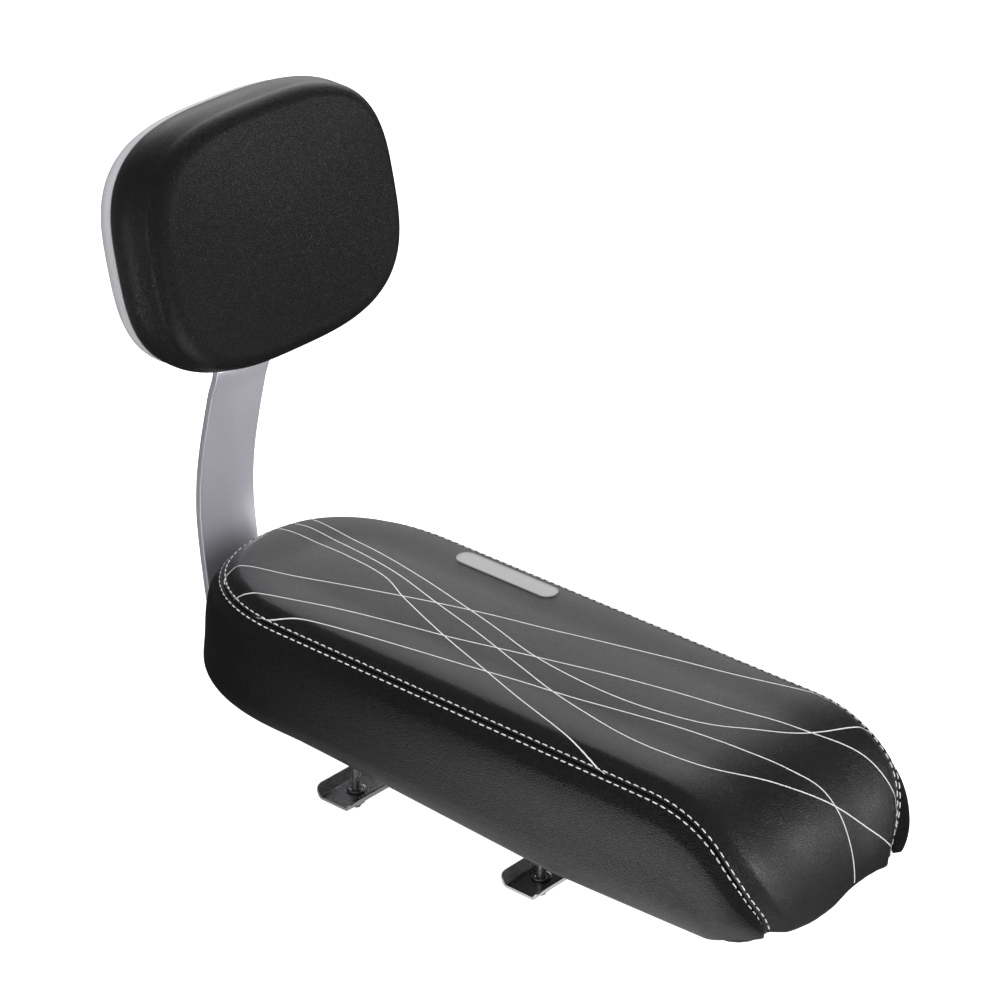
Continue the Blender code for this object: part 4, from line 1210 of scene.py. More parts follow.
@dataclass(frozen=True)
class ThreadedStud:
    """Shank of an M5 bolt with its rolled thread."""

    radius: float = 0.0025
    pitch: float = 0.0008
    depth: float = 0.00042
    chamfer: float = 0.0005
    per_turn: int = 10
    around: int = 24

    def build(self, name: str, x: float, y: float, low: float, high: float, finish: Material,
              slot: Slot) -> Piece:
        """Makes the shank: its radius falls and rises once in each pitch along the helix.

        Args:
            name: The piece's name.
            x: Place of its axis.
            y: Place of its axis.
            low: Height of its end.
            high: Height where it is under the bolt's head.
            finish: Its material.
            slot: The record's slot.

        Returns:
            The new object.
        """
        z = np.arange(low, high, self.pitch / self.per_turn)
        angle = np.linspace(0.0, math.tau, self.around, endpoint=False)
        phase = (z[:, None] / self.pitch - angle / math.tau) % 1.0
        crest = np.clip(1.6 * np.abs(2.0 * phase - 1.0) - 0.3, 0.0, 1.0)
        radius = self.radius - self.depth * crest
        radius = np.minimum(radius, self.radius - self.chamfer + (z - low)[:, None] * 0.9)
        points = np.stack([x + radius * np.cos(angle), y + radius * np.sin(angle),
                           np.repeat(z[:, None], self.around, 1)], 2)
        return tube(name, capped(points), finish, slot, weld=FINE_WELD)


@dataclass(frozen=True)
class ClampForm:
    """Sizes of a clamp's folded channel and its small hardware."""

    sheet: float = 0.0015
    web: float = 0.019
    flange: float = 0.0055
    lean: float = 0.0028
    fold: float = 0.0014
    end_round: float = 0.0045
    edge_round: float = 0.00018
    slot_length: float = 0.009
    slot_radius: float = 0.0029
    bolt_spread: float = 0.072
    washer: tuple[float, float, float] = (0.0028, 0.005, 0.001)
    nut_flats: float = 0.008
    nut_height: float = 0.004


class Clamp:
    """A clamp under the cushion: channel, studs, washers and nuts."""

    def __init__(self, where: str, form: ClampForm, finishes: Finishes) -> None:
        """Keeps the clamp's place.

        Args:
            where: The clamp's place in its nodes' names, rear or front.
            form: Its sizes.
            finishes: The materials.
        """
        self.where, self.form, self.finishes = where, form, finishes
        low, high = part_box("clamp_channel_" + where)
        self.x = (low[0] + high[0]) / 2.0
        self.length = high[1] - low[1]
        self.web_low = low[2]

    def build(self) -> None:
        """Makes the clamp's pieces."""
        self._channel()
        for side in Side:
            self._bolt(side)

    def _channel(self) -> None:
        """The folded sheet: a bent section carried across, with its flanges' ends rounded off."""
        form = self.form
        turn = np.linspace(0.0, math.atan2(form.flange, form.lean), 7)
        bend = np.stack([form.web / 2.0 - form.fold + form.fold * np.sin(turn),
                         form.fold * (1.0 - np.cos(turn))], 1)
        rise = np.linspace(0.0, 1.0, 9)[1:, None]
        top = np.array([form.web / 2.0 + form.lean, form.flange])
        arm = np.vstack([np.linspace([0.0, 0.0], bend[0], 5)[:-1], bend, bend[-1] + (top - bend[-1]) * rise])
        section = np.vstack([arm[:0:-1] * np.array([-1.0, 1.0]), arm])
        up = np.clip(section[:, 1] - form.flange + form.end_round, 0.0, form.end_round)
        cut = form.end_round - np.sqrt(form.end_round ** 2 - up ** 2 + 1e-12)
        reach = self.length / 2.0 - cut
        share = np.sin(np.linspace(-math.pi / 2.0, math.pi / 2.0, 41))
        rows = len(share)
        points = np.stack([np.repeat(self.x + section[None, :, 0], rows, 0), share[:, None] * reach[None, :],
                           np.repeat(self.web_low + form.sheet + section[None, :, 1], rows, 0)], 2)
        channel = mesh_piece("channel_" + self.where, points, grid_faces(*points.shape[:2]),
                             self.finishes.plating, Slot.PLATING, outward=False)
        wall = channel.modifiers.new("wall", 'SOLIDIFY')
        wall.thickness = form.sheet
        wall.offset = -1.0
        apply_modifiers(channel)
        for side in Side:
            centre = side.value * form.bolt_spread / 2.0
            stretch = form.slot_length / 2.0 - form.slot_radius
            outline = polygon(form.slot_radius, 24)
            outline[:, 1] += np.sign(outline[:, 1] + 1e-9) * stretch
            outline += np.array([self.x, centre])
            carve(channel, prism(outline, self.web_low - form.sheet, self.web_low + 2.0 * form.sheet))
        round_edges(channel, form.edge_round)
        sharpen(channel, 50.0)
        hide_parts("clamp_channel_" + self.where)

    def _bolt(self, side: Side) -> None:
        """One stud with its two washers and its nut."""
        form, y = self.form, side.value * self.form.bolt_spread / 2.0
        tail = f"{self.where}_{side.name.lower()}"
        low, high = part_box("clamp_bolt_" + tail)
        head = 0.003
        stud = ThreadedStud().build("stud_" + tail, self.x, y, low[2], high[2] - head, self.finishes.plating,
                                    Slot.PLATING)
        fall = ((0.0, 0.0), (0.0025, 0.0003), (0.0046, 0.0012), (0.006, head), (0.0, head))
        dome = [(radius, high[2] - lower) for radius, lower in fall]
        frame = Matrix.Translation((self.x, y, 0.0))
        cap = turned("stud_head_" + tail, dome, self.finishes.plating, Slot.PLATING, frame=frame)
        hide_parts("clamp_bolt_" + tail)
        cap.parent = stud
        inner, outer, thick = form.washer
        edge = 0.00015
        for level in ("upper", "lower"):
            node = f"clamp_{level}_washer_{tail}"
            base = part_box(node)[0][2]
            ring = [(inner, base), (outer - edge, base), (outer, base + edge), (outer, base + thick - edge),
                    (outer - edge, base + thick), (inner + edge, base + thick), (inner, base + thick - edge)]
            washer = turned(f"{level}_washer_{tail}", ring, self.finishes.plating, Slot.PLATING, closed=True,
                            crisp=60.0, frame=frame)
            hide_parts(node)
        node = "clamp_nut_" + tail
        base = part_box(node)[0][2]
        nut = turned("nut_" + tail, hexagon_section(form.nut_flats, base, base + form.nut_height, inner),
                     self.finishes.plating, Slot.PLATING, around=72, flats=form.nut_flats, closed=True,
                     crisp=28.0, frame=frame)
        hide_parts(node)


def hexagon_section(flats: float, low: float, high: float, bore: float) -> list[tuple[float, float]]:
    """Section of a hexagon nut: corners cut by cones of 30 degrees, bore countersunk."""
    corner = flats / math.sqrt(3.0)
    face = flats / 2.0 * 0.96
    slope = math.tan(math.radians(30.0))
    sink = bore * 1.16
    lower = [(bore, low + sink - bore), (sink, low), (face, low)]
    lower += [(radius, low + (radius - face) * slope) for radius in np.linspace(flats / 2.0, corner, 4)]
    upper = [(radius, low + high - height) for radius, height in reversed(lower)]
    return lower + upper


@dataclass(frozen=True)
class ButtonBolt:
    """An M6 button-head bolt with its washer and its hexagon socket, along the Z of a frame."""

    radius: float = 0.0055
    height: float = 0.0035
    rim: float = 0.0008
    shank: float = 0.003
    socket_flats: float = 0.004
    socket_depth: float = 0.0019
    washer_bore: float = 0.0033
    washer_radius: float = 0.0065
    washer_thickness: float = 0.0012
    gap: float = 0.0003

    def build(self, tail: str, face: float, end: float, frame: Matrix, finish: Material) -> None:
        """Makes the bolt and its washer.

        Args:
            tail: End of the names of the nodes that they replace.
            face: Depth of the face that the washer lies under.
            end: Depth of the shank's end.
            frame: The bolt's frame, whose Z runs from the head to the shank's end.
            finish: The material.
        """
        under = face - self.washer_thickness - 2.0 * self.gap
        turn = np.linspace(0.0, math.pi / 2.0, 9)
        edge = 0.0001
        rise = self.height - self.rim
        dome = [(self.radius * math.sin(a), under - self.rim - rise * math.cos(a)) for a in turn]
        profile = dome + [(self.radius, under - edge), (self.radius - edge, under), (self.shank, under),
                          (self.shank, end), (0.0, end)]
        bolt = turned("button_" + tail, profile, finish, Slot.PLATING, frame=frame)
        top = under - self.height
        hexagon = polygon(self.socket_flats / math.sqrt(3.0), 6)
        carve(bolt, prism(hexagon, top - self.rim, top + self.socket_depth, frame))
        sharpen(bolt, 35.0)
        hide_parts("bolt_" + tail)
        low, high = face - self.gap - self.washer_thickness, face - self.gap
        outer, inner = self.washer_radius, self.washer_bore
        ring = [(inner, low + edge), (inner + edge, low), (outer - 2.0 * edge, low),
                (outer, low + 2.0 * edge), (outer, high - edge), (outer - edge, high), (inner, high)]
        washer = turned("washer_ring_" + tail, ring, finish, Slot.PLATING, closed=True, crisp=60.0,
                        frame=frame)
        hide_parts("washer_" + tail)


@dataclass(frozen=True)
class CrossScrew:
    """A short screw with a rounded head and a cross recess, along the Z of a frame."""

    radius: float = 0.0035
    height: float = 0.0020
    shank: float = 0.00175
    point: float = 0.001
    arm: float = 0.0019
    arm_width: float = 0.00035
    recess: float = 0.0012

    def build(self, name: str, under: float, tip: float, frame: Matrix, finish: Material
              ) -> Piece:
        """Makes the screw.

        Args:
            name: The piece's name.
            under: Depth of the head's flat side.
            tip: Depth of the screw's point.
            frame: The screw's frame, whose Z runs from the head to the point.
            finish: The material.

        Returns:
            The new object.
        """
        turn = np.linspace(0.0, math.pi / 2.0, 8)
        dome = [(self.radius * math.sin(a), under - self.height * math.cos(a)) for a in turn]
        profile = dome + [(self.shank, under), (self.shank, tip - self.point), (0.0, tip)]
        screw = turned(name, profile, finish, Slot.PLATING, around=36, frame=frame)
        top = under - self.height
        for long, wide in ((self.arm, self.arm_width), (self.arm_width, self.arm)):
            outline = np.array([(-long, -wide), (long, -wide), (long, wide), (-long, wide)])
            carve(screw, prism(outline, top - self.recess, top + self.recess, frame))
        sharpen(screw, 35.0)
        return screw


def softened_copy(node: str, name: str, edge: float, finish: Material) -> Piece:
    """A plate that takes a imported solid's form and gives it rounded edges.

    Args:
        node: The solid's node.
        name: The new piece's name.
        edge: Width of the rounding.
        finish: The material.

    Returns:
        The new object.
    """
    mesh = bpy.data.objects[node].data.copy()
    mesh.name = name
    with edited(mesh) as work:
        bmesh.ops.remove_doubles(work, verts=work.verts, dist=WELD)
        bmesh.ops.dissolve_limit(work, angle_limit=math.radians(1.0), verts=work.verts, edges=work.edges)
    mesh.materials.clear()
    mesh.materials.append(finish)
    piece = put(name, mesh)
    round_edges(piece, edge)
    piece.data.shade_smooth()
    sharpen(piece, 50.0)
    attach(piece, BODY)
    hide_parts(node)
    LOG.info("%s: %d faces", name, len(piece.data.polygons))
    return piece


# Backrest


@dataclass(frozen=True)
class BackForm:
    """Sizes of the backrest, in its own frame: across, up and out of its face."""

    recline: float = math.radians(12.0)
    centre: tuple[float, float] = (-0.196, 0.2405)
    width: float = 0.169
    height: float = 0.130
    power: float = 3.05
    wall: float = 0.025
    wall_bulge: float = 0.0020
    shoulder: tuple[float, float] = (0.009, 0.009)
    crown: float = 0.0030
    shell_depth: float = 0.015
    shell_round: float = 0.008
    shell_wall: float = 0.0025
    shell_draft: float = 0.0025
    bolt_spread: float = 0.044
    screw_inset: float = 0.0265
    screw_gap: float = 0.0003
    screw_end: float = 0.0043
    foam_low: float = 0.0066
    foam_inward: float = 0.0016

    def world(self, points: Array) -> Array:
        """Points of the backrest's frame in the part's frame."""
        sine, cosine = math.sin(self.recline), math.cos(self.recline)
        across, up, out = points[..., 0], points[..., 1], points[..., 2]
        return np.stack([self.centre[0] - sine * up + cosine * out, across,
                         self.centre[1] + cosine * up + sine * out], -1)

    def frame(self, across: float, up: float) -> Matrix:
        """A place on the backrest whose Z points out of its face."""
        origin = self.world(np.array([across, up, 0.0]))
        axes = [self.world(np.eye(3)[i]) - self.world(np.zeros(3)) for i in range(3)]
        turn = Matrix([Vector(axis) for axis in axes]).transposed().to_4x4()
        return Matrix.Translation(Vector(origin)) @ turn

    def outline(self, inset: Array, count: int) -> Array:
        """Rings round the backrest, each moved in by its inset: rounded oblongs, evenly stepped.

        Args:
            inset: Inset of each ring.
            count: Points in a ring.

        Returns:
            Points of two columns, by ring.
        """
        turn = np.linspace(0.0, math.tau, 4 * count + 1)
        cosine, sine = np.cos(turn), np.sin(turn)
        shape = np.stack([self.width / 2.0 * np.sign(cosine) * np.abs(cosine) ** (2.0 / self.power),
                          self.height / 2.0 * np.sign(sine) * np.abs(sine) ** (2.0 / self.power)], 1)
        length = along(shape)
        places = np.linspace(0.0, length[-1], count + 1)[:-1]
        even = np.stack([np.interp(places, length, shape[:, i]) for i in range(2)], 1)
        half = np.array([self.width / 2.0, self.height / 2.0])
        return even[None] * (1.0 - inset[:, None, None] / half)


class Backrest:
    """Pad, shell and the bolts and screws behind it."""

    def __init__(self, form: BackForm, finishes: Finishes) -> None:
        """Keeps the form.

        Args:
            form: Sizes of the backrest.
            finishes: The materials.
        """
        self.form, self.finishes = form, finishes

    def _pad_rings(self, inward: float, around: int) -> Array:
        """Rings of the pad from its rear edge to the middle of its face.

        The wall swells by a sine, the shoulder is a quarter ellipse and the face is crowned by a parabola.
        """
        form = self.form
        wall = np.linspace(0.0, form.wall, 18)
        swell = -form.wall_bulge * np.sin(math.pi * wall / form.wall)
        turn = np.linspace(0.0, math.pi / 2.0, 20)[1:]
        across, out = form.shoulder
        inset = np.r_[swell, across * (1.0 - np.cos(turn))]
        inset = inset + inward * np.r_[np.ones_like(wall), np.cos(turn)]
        depth = np.r_[wall, form.wall + out * np.sin(turn)]
        depth = depth - inward * np.r_[np.zeros_like(wall), np.sin(turn)]
        rings = np.concatenate([form.outline(inset, around), np.repeat(depth[:, None, None], around, 1)], 2)
        share = np.linspace(1.0, 0.0, 34)[1:]
        face = drawn_in(rings[-1], share)
        face[:, :, 2] += form.crown * (1.0 - share[:, None] ** 2)
        return np.concatenate([rings, face])

    def build_pad(self) -> None:
        """Leather skin of the pad."""
        rings = self._pad_rings(0.0, 220)
        cover = tube("backrest_pad_skin", self.form.world(rings), self.finishes.back_leather, Slot.LEATHER)
        thicken(cover, LEATHER_WALL)
        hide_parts("backrest_cover")

    def build_foam(self) -> None:
        """Foam of the pad, on the front of its board: the cover's form moved in by its wall."""
        form = self.form
        rings = self._pad_rings(form.foam_inward, 120)
        rings = rings[rings[:, 0, 2] > form.foam_low]
        rings[:, :, 2] = np.maximum(rings[:, :, 2], form.foam_low)
        foot = rings[0].copy()
        foot[:, 2] = form.foam_low
        rings = np.concatenate([drawn_in(foot, np.linspace(0.0, 1.0, 8)), rings])
        foam = tube("backrest_foam_pad", form.world(rings), self.finishes.foam, Slot.FOAM)
        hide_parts("backrest_foam")

    def build_screws(self) -> None:
        """Four small screws with rounded, cross-slotted heads in the shell's back."""
        form = self.form
        across, up = form.width / 2.0 - form.screw_inset, form.height / 2.0 - form.screw_inset
        for rise, height in ((-1, "lower"), (1, "upper")):
            for side in Side:
                hand = side.name.lower()
                frame = form.frame(side.value * across, rise * up)
                screw = CrossScrew().build(f"screw_{height}_{hand}", -form.shell_depth - form.screw_gap,
                                           form.screw_end, frame, self.finishes.plating)
                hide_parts(f"shell_screw_{height}_{hand}")

    def build_shell(self) -> None:
        """White moulded shell behind the pad, with a rounded lip round its rim."""
        form = self.form
        turn = np.linspace(0.0, math.pi / 2.0, 12)
        deep = form.shell_depth - form.shell_round
        lip = 0.0008
        curl = np.linspace(-math.pi / 2.0, math.pi / 2.0, 7)
        inset = np.r_[form.shell_wall, form.shell_wall - lip, lip * (1.0 - np.cos(curl[3:])), 0.0, 0.0,
                      form.shell_round * (1.0 - np.cos(turn))]
        depth = np.r_[-0.004, -0.0003, -0.0003 - lip * np.sin(curl[3:]), -0.004, -0.006,
                      -deep - form.shell_round * np.sin(turn)]
        inset = inset + form.shell_draft * ramp(0.002, form.shell_depth, -depth)
        rings = np.concatenate([form.outline(inset, 160), np.repeat(depth[:, None, None], 160, 1)], 2)
        points = np.concatenate([rings, drawn_in(rings[-1], np.linspace(1.0, 0.0, 14)[1:])])
        inner = points[::-1].copy()
        inner[:, :, 2] = np.minimum(inner[:, :, 2] + form.shell_wall, -0.0035)
        inner[:, :, :2] *= 1.0 - form.shell_wall / 0.075
        points = np.concatenate([points, inner[:-3], points[:1]])
        shell = tube("backrest_shell_moulding", form.world(points), self.finishes.plastic, Slot.SHELL)
        sharpen(shell, 50.0)
        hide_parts("backrest_shell")


# Flat bar


@dataclass(frozen=True)
class BarForm:
    """Path and section of the flat bar."""

    width: float = 0.040
    thickness: float = 0.004
    edge_round: float = 0.0011
    corner: float = 0.006
    crease: float = 0.0012
    creased: tuple[float, float, float, float] = (0.010, 0.050, 0.150, 0.190)
    hole: float = 0.0035
    leg_bolts: tuple[float, float] = (-0.155, -0.115)
    leg_front: float = -0.066
    bend_radius: float = 0.017
    foot_x: float = -0.2067
    lean: float = 0.0065
    lean_height: float = 0.080
    knee_forward: float = 0.0098
    knee_height: float = 0.163
    settle: tuple[float, float] = (0.2, 0.7)
    climb: tuple[tuple[float, float], ...] = ((0.16, 0.32), (0.70, 0.80), (1.0, 1.0))
    top_reach: float = 0.046
    gap: float = 0.0003

    def line(self, back: BackForm) -> Array:
        """Mid-thickness of the bar in its side view, at an even step, as x and z."""
        leg_z = -self.gap - self.thickness / 2.0
        bend_x = self.foot_x + self.bend_radius
        turn = np.linspace(0.0, math.pi / 2.0, 24)
        bend = np.stack([bend_x - self.bend_radius * np.sin(turn),
                         leg_z + self.bend_radius * (1.0 - np.cos(turn))], 1)
        lean_x, knee_x = self.foot_x - self.lean, self.foot_x + self.knee_forward
        rise = self.knee_height - self.lean_height
        still, low = self.settle
        knots = [tuple(bend[-1]), (lean_x + self.lean * still, self.lean_height * low)]
        knots += [(lean_x, self.lean_height)]
        ahead = knee_x - lean_x
        knots += [(lean_x + ahead * run, self.lean_height + rise * up) for run, up in self.climb]
        depth = -back.shell_depth - self.gap - self.thickness / 2.0
        reach = np.array([-back.height / 2.0, 0.0, self.top_reach])
        top = back.world(np.stack([np.zeros(3), reach, np.full(3, depth)], 1))[:, [0, 2]]
        curve = smooth_line(knots + [tuple(point) for point in top[:2]], 0.002)
        leg = np.stack([np.linspace(self.leg_front, bend_x, 60), np.full(60, leg_z)], 1)
        tip = np.linspace(top[1], top[2], 24)
        return np.vstack([leg[:-1], bend, curve[1:], tip[1:]])


class Bar:
    """The bent flat bar, and the bolts that hold it."""

    def __init__(self, form: BarForm, back: BackForm, finishes: Finishes) -> None:
        """Keeps the bar's and the backrest's sizes.

        Args:
            form: The bar's path and section.
            back: The backrest that it carries.
            finishes: The materials.
        """
        self.form, self.back, self.finishes = form, back, finishes

    def build(self) -> None:
        """The bar: a flat section with rounded edges, carried along its path, with rounded ends."""
        form = self.form
        line = form.line(self.back)
        step = np.gradient(line, axis=0)
        step /= np.linalg.norm(step, axis=1, keepdims=True)
        normal = np.stack([-step[:, 1], step[:, 0]], 1)
        length = along(line)
        near_end = np.minimum(length, length[-1] - length)
        into = np.clip(form.corner - near_end, 0.0, form.corner)
        half = form.width / 2.0 - form.corner + np.sqrt(form.corner ** 2 - into ** 2)
        turn = np.linspace(0.0, math.pi / 2.0, 6)
        quarter = form.edge_round * np.stack([np.cos(turn), np.sin(turn)], 1)
        flat = np.linspace(1.0, -1.0, 13)[1:-1]
        edge, thick = form.edge_round, form.thickness / 2.0
        corner = quarter + np.array([-edge, thick - edge])
        upper_y = np.r_[corner[:, 0], np.zeros(len(flat)), -corner[::-1, 0]]
        upper_share = np.r_[np.ones(len(turn)), flat, -np.ones(len(turn))]
        upper_n = np.r_[corner[:, 1], np.full(len(flat), thick), corner[::-1, 1]]
        offset_y = np.r_[upper_y, upper_y[::-1]]
        share = np.r_[upper_share, upper_share[::-1]]
        low, full, fade, high = form.creased
        reach = ramp(low, full, line[:, 1]) * (1.0 - ramp(fade, high, line[:, 1]))
        valley = form.crease * reach[:, None] * (1.0 - np.abs(share))[None, :]
        offset_n = np.r_[upper_n, -upper_n[::-1]][None, :] - valley
        y = share[None, :] * half[:, None] + offset_y[None, :]
        x = line[:, :1] + normal[:, :1] * offset_n
        z = line[:, 1:] + normal[:, 1:] * offset_n
        rings = capped(np.stack([x, y, z], 2))
        bar = tube("flat_bar", rings, self.finishes.paint, Slot.PAINT, weld=FINE_WELD)
        for x in form.leg_bolts:
            self._drill(bar, Matrix.Translation((x, 0.0, 0.0)))
        for side in (-1, 1):
            self._drill(bar, self.back.frame(0.0, side * self.back.bolt_spread / 2.0))
        sharpen(bar, 45.0)
        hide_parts("backrest_bar")

    def _drill(self, bar: Piece, frame: Matrix) -> None:
        """Bores one bolt hole along a frame's Z."""
        carve(bar, prism(polygon(self.form.hole, 28), -0.03, 0.01, frame))

    def build_bolts(self) -> None:
        """Two bolts up through the leg, and two through the bar behind the backrest."""
        form, back = self.form, self.back
        under_leg = -form.gap - form.thickness
        for tail, x in zip(("leg_rear", "leg_front"), form.leg_bolts):
            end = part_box("bolt_" + tail)[1][2]
            ButtonBolt().build(tail, under_leg, end, Matrix.Translation((x, 0.0, 0.0)), self.finishes.plating)
        behind = -back.shell_depth - form.gap - form.thickness
        for tail, side in (("back_lower", -1), ("back_upper", 1)):
            frame = back.frame(0.0, side * back.bolt_spread / 2.0)
            ButtonBolt().build(tail, behind, back.foam_low, frame, self.finishes.plating)


# Room and camera


@dataclass(frozen=True)
class PhotoCamera:
    """The photograph's camera: its turn and height round the part, and what it looks at."""

    turn_degrees: float = 48.5
    elevation_degrees: float = 27.2
    focal_pixels: float = 4100.0
    picture_pixels: float = 1000.0
    distance: float = 2.05
    mark: tuple[float, float, float] = (-0.012, -0.032, 0.0)
    mark_pixel: tuple[float, float] = (470.0, 780.0)
    sensor_mm: float = 36.0

    def place(self) -> Piece:
        """Puts the camera in the scene, so that the mark falls on its pixel."""
        turn, rise = math.radians(self.turn_degrees), math.radians(self.elevation_degrees)
        right = np.array([math.sin(turn), math.cos(turn), 0.0])
        back = np.array([math.cos(rise) * math.cos(turn), -math.cos(rise) * math.sin(turn), math.sin(rise)])
        up = np.cross(back, right)
        centre = self.picture_pixels / 2.0
        aside, lower = ((pixel - centre) / self.focal_pixels * self.distance for pixel in self.mark_pixel)
        where = np.array(self.mark) - aside * right + lower * up + self.distance * back
        lens = bpy.data.cameras.new("photo_camera")
        lens.sensor_width = self.sensor_mm
        lens.lens = self.focal_pixels / self.picture_pixels * self.sensor_mm
        camera = put("photo_camera", lens)
        frame = Matrix((right, up, back)).transposed().to_4x4()
        frame.translation = Vector(where)
        camera.matrix_world = frame
        bpy.context.scene.camera = camera
        return camera


@dataclass(frozen=True)
class Softbox:
    """An area lamp: where it stands, its size, its power in watts, and whether it shows in reflections."""

    name: str
    place: tuple[float, float, float]
    size: tuple[float, float]
    watts: float
    mirrored: bool = False
    aim: tuple[float, float, float] = (-0.03, 0.0, 0.08)
    lights_only: str = ""

    def build(self) -> None:
        """Puts the lamp in the scene, and limits it to one piece if it lights only that."""
        lamp = bpy.data.lights.new(self.name, 'AREA')
        lamp.shape = 'RECTANGLE'
        lamp.size, lamp.size_y = self.size
        lamp.energy = self.watts
        made = put(self.name, lamp)
        aim = Vector(self.aim) - Vector(self.place)
        made.matrix_world = Matrix.Translation(self.place) @ aim.to_track_quat('-Z', 'Y').to_matrix().to_4x4()
        made.visible_glossy = self.mirrored
        made.visible_camera = False
        if self.lights_only:
            lit = bpy.data.collections.new(self.name + "_lights")
            lit.objects.link(bpy.data.objects[self.lights_only])
            made.light_linking.receiver_collection = lit


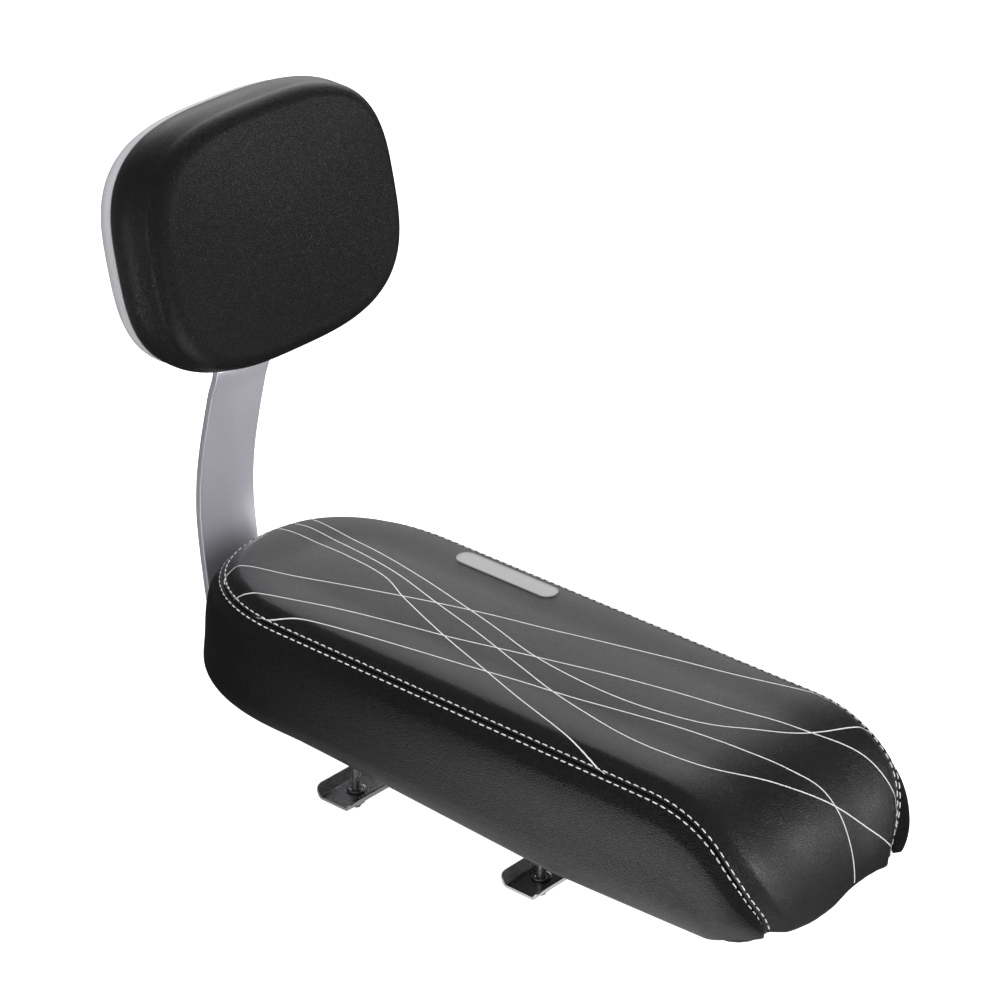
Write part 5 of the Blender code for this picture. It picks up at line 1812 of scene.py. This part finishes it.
class Studio:
    """White room, floor, lamps and camera.

    The three broad lamps light the matt surfaces and don't show in the glossy ones. These mirror two pools of
    painted light that the floor gives off in reflections only, one softbox behind the cushion, and five small
    lamps that each light one piece.
    """

    lamps = (Softbox("lamp_above", (0.2, -0.5, 2.4), (1.8, 1.8), 36.0),
             Softbox("lamp_front", (2.2, -0.4, 1.1), (1.2, 1.2), 28.0),
             Softbox("lamp_right", (-0.9, -2.1, 1.0), (1.2, 1.2), 10.0),
             Softbox("sheen_box", (-1.55, 1.75, 0.98), (2.0, 1.8), 17.5, mirrored=True),
             Softbox("front_glow", (1.66, 0.62, 0.40), (0.9, 0.42), 15.0, mirrored=True,
                     lights_only="seat_top_skin"),
             Softbox("bar_glow", (0.06, 0.30, 0.07), (0.5, 0.24), 1.5, mirrored=True, aim=(-0.2, 0.0, 0.2),
                     lights_only="flat_bar"),
             Softbox("pad_face_glow", (1.30, 1.40, 0.50), (1.0, 0.50), 4.4, mirrored=True,
                     lights_only="backrest_pad_skin"),
             Softbox("pad_side_glow", (-0.43, -0.36, 0.06), (0.05, 0.45), 0.26, mirrored=True,
                     aim=(-0.18, -0.07, 0.24), lights_only="backrest_pad_skin"),
             Softbox("pad_edge_glow", (0.15, -0.34, 0.05), (0.05, 0.40), 0.12, mirrored=True,
                     aim=(-0.16, -0.06, 0.24), lights_only="backrest_pad_skin"))
    # Painted light: pools of glow on the floor, seen only in reflections, as middle, radius and strength
    painted_light_pools = (((0.10, -0.22), 0.38, 1.45), ((0.9, 0.9), 1.6, 0.30))
    floor_base = 0.04

    def build(self, floor_height: float) -> None:
        """Makes the room.

        Args:
            floor_height: Height of the floor, under the part's lowest point.
        """
        bpy.context.scene.view_settings.view_transform = 'Standard'
        world = bpy.data.worlds.new("studio_room")
        world.use_nodes = True
        tree = world.node_tree
        room = tree.nodes["Background"]
        set_inputs(tree, room, {"Color": (0.95, 0.96, 1.0, 1.0), "Strength": 0.10})
        backdrop = add_node(tree, 'ShaderNodeBackground', {"Color": (1.0, 1.0, 1.0, 1.0)})
        seen = add_node(tree, 'ShaderNodeLightPath').outputs["Is Camera Ray"]
        whole = either(tree, seen, room.outputs["Background"], backdrop.outputs["Background"])
        set_inputs(tree, tree.nodes["World Output"], {"Surface": whole})
        bpy.context.scene.world = world
        for lamp in self.lamps:
            lamp.build()
        self._floor(floor_height)
        PhotoCamera().place()

    def _floor(self, height: float) -> None:
        """A wide floor, open from below, that the camera sees white.

        In reflections it shows only its painted glow: a faint base and pools of painted light, beside the
        cushion and before it.
        """
        mesh = bpy.data.meshes.new("floor")
        reach = 5.0
        corners = [(x, y, height) for x, y in reach * np.array(((-1, -1), (1, -1), (1, 1), (-1, 1)))]
        mesh.from_pydata(corners, [], [(0, 1, 2, 3)])
        floor = put("floor", mesh)
        made = bpy.data.materials.new("white_floor")
        made.use_nodes = True
        tree = made.node_tree
        shader = tree.nodes["Principled BSDF"]
        set_inputs(tree, shader, {"Base Color": (0.88, 0.88, 0.88, 1.0), "Roughness": 1.0,
                                  "Specular IOR Level": 0.0})
        path = add_node(tree, 'ShaderNodeLightPath')
        share = add_node(tree, 'ShaderNodeMapRange',
                         {"Value": path.outputs["Is Camera Ray"], "To Min": 0.18, "To Max": 1.0})
        glow = add_node(tree, 'ShaderNodeEmission', {"Strength": share.outputs["Result"]})
        both = add_node(tree, 'ShaderNodeAddShader', {0: shader.outputs["BSDF"], 1: glow.outputs["Emission"]})
        # Painted reflection: glossy rays see the floor's painted glow and pools instead of its lit surface
        mirrored = add_node(tree, 'ShaderNodeEmission', {"Strength": self._painted_light_pools(tree)})
        lit = either(tree, path.outputs["Is Glossy Ray"], both.outputs["Shader"],
                     mirrored.outputs["Emission"])
        below = add_node(tree, 'ShaderNodeNewGeometry').outputs["Backfacing"]
        clear = add_node(tree, 'ShaderNodeBsdfTransparent').outputs["BSDF"]
        set_inputs(tree, tree.nodes["Material Output"], {"Surface": either(tree, below, lit, clear)})
        mesh.materials.append(made)
        floor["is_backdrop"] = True

    def _painted_light_pools(self, tree: Tree) -> Socket:
        """Painted light of the floor in reflections: a faint base glow, and a smooth pool of painted light
        round each pool's middle.
        """
        place = add_node(tree, 'ShaderNodeTexCoord').outputs["Object"]
        flat = add_node(tree, 'ShaderNodeVectorMath', {0: place, 1: (1.0, 1.0, 0.0)}, operation='MULTIPLY')
        total: object = self.floor_base
        for (x, y), radius, strength in self.painted_light_pools:
            gap = add_node(tree, 'ShaderNodeVectorMath', {0: flat.outputs[0], 1: (x, y, 0.0)},
                           operation='DISTANCE')
            fall = add_node(tree, 'ShaderNodeMapRange', {"Value": gap.outputs["Value"], "From Max": radius,
                                                         "To Min": strength, "To Max": 0.0},
                            interpolation_type='SMOOTHERSTEP')
            total = ShaderKit.calculate(tree, 'ADD', fall.outputs["Result"], total)
        return total


def dress_nodes(frame: dict, finishes: Finishes) -> None:
    """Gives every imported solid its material, by its slot in the record.

    Args:
        frame: The loaded model.
        finishes: The materials.
    """
    looks = {Slot.LEATHER: finishes.leather, Slot.FOAM: finishes.foam, Slot.BOARD: finishes.board,
             Slot.LINER: finishes.felt, Slot.BADGE: finishes.foil, Slot.PAINT: finishes.paint,
             Slot.PLATING: finishes.plating, Slot.SHELL: finishes.plastic}
    for part in frame["record"]["subparts"]:
        mesh = frame["nodes"][part["node"]].data
        mesh.materials.clear()
        mesh.materials.append(looks[Slot(part["material_slot"])])


def main() -> None:
    """Builds the looks in order."""
    logging.basicConfig(level=logging.INFO, format="%(name)s: %(message)s")
    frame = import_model()
    cad_box = [list(corner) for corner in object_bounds()]
    finishes = Finishes()
    cushion = Cushion(CushionForm(), SeamDetail(), finishes)
    cushion.build_top()
    cushion.build_band()
    cushion.build_stitches()
    cushion.build_stripes()
    cushion.build_badge()
    cushion.build_foam()
    for where in ("rear", "front"):
        Clamp(where, ClampForm(), finishes).build()
    back = BackForm()
    backrest = Backrest(back, finishes)
    backrest.build_pad()
    backrest.build_foam()
    backrest.build_shell()
    backrest.build_screws()
    bar = Bar(BarForm(), back, finishes)
    bar.build()
    bar.build_bolts()
    softened_copy("seat_board", "seat_board_moulding", 0.0006, finishes.board)
    softened_copy("seat_bottom_liner", "seat_liner_felt", 0.0004, finishes.felt)
    dress_nodes(frame, finishes)
    Studio().build(cad_box[0][2])


if __name__ == "__main__":
    main()
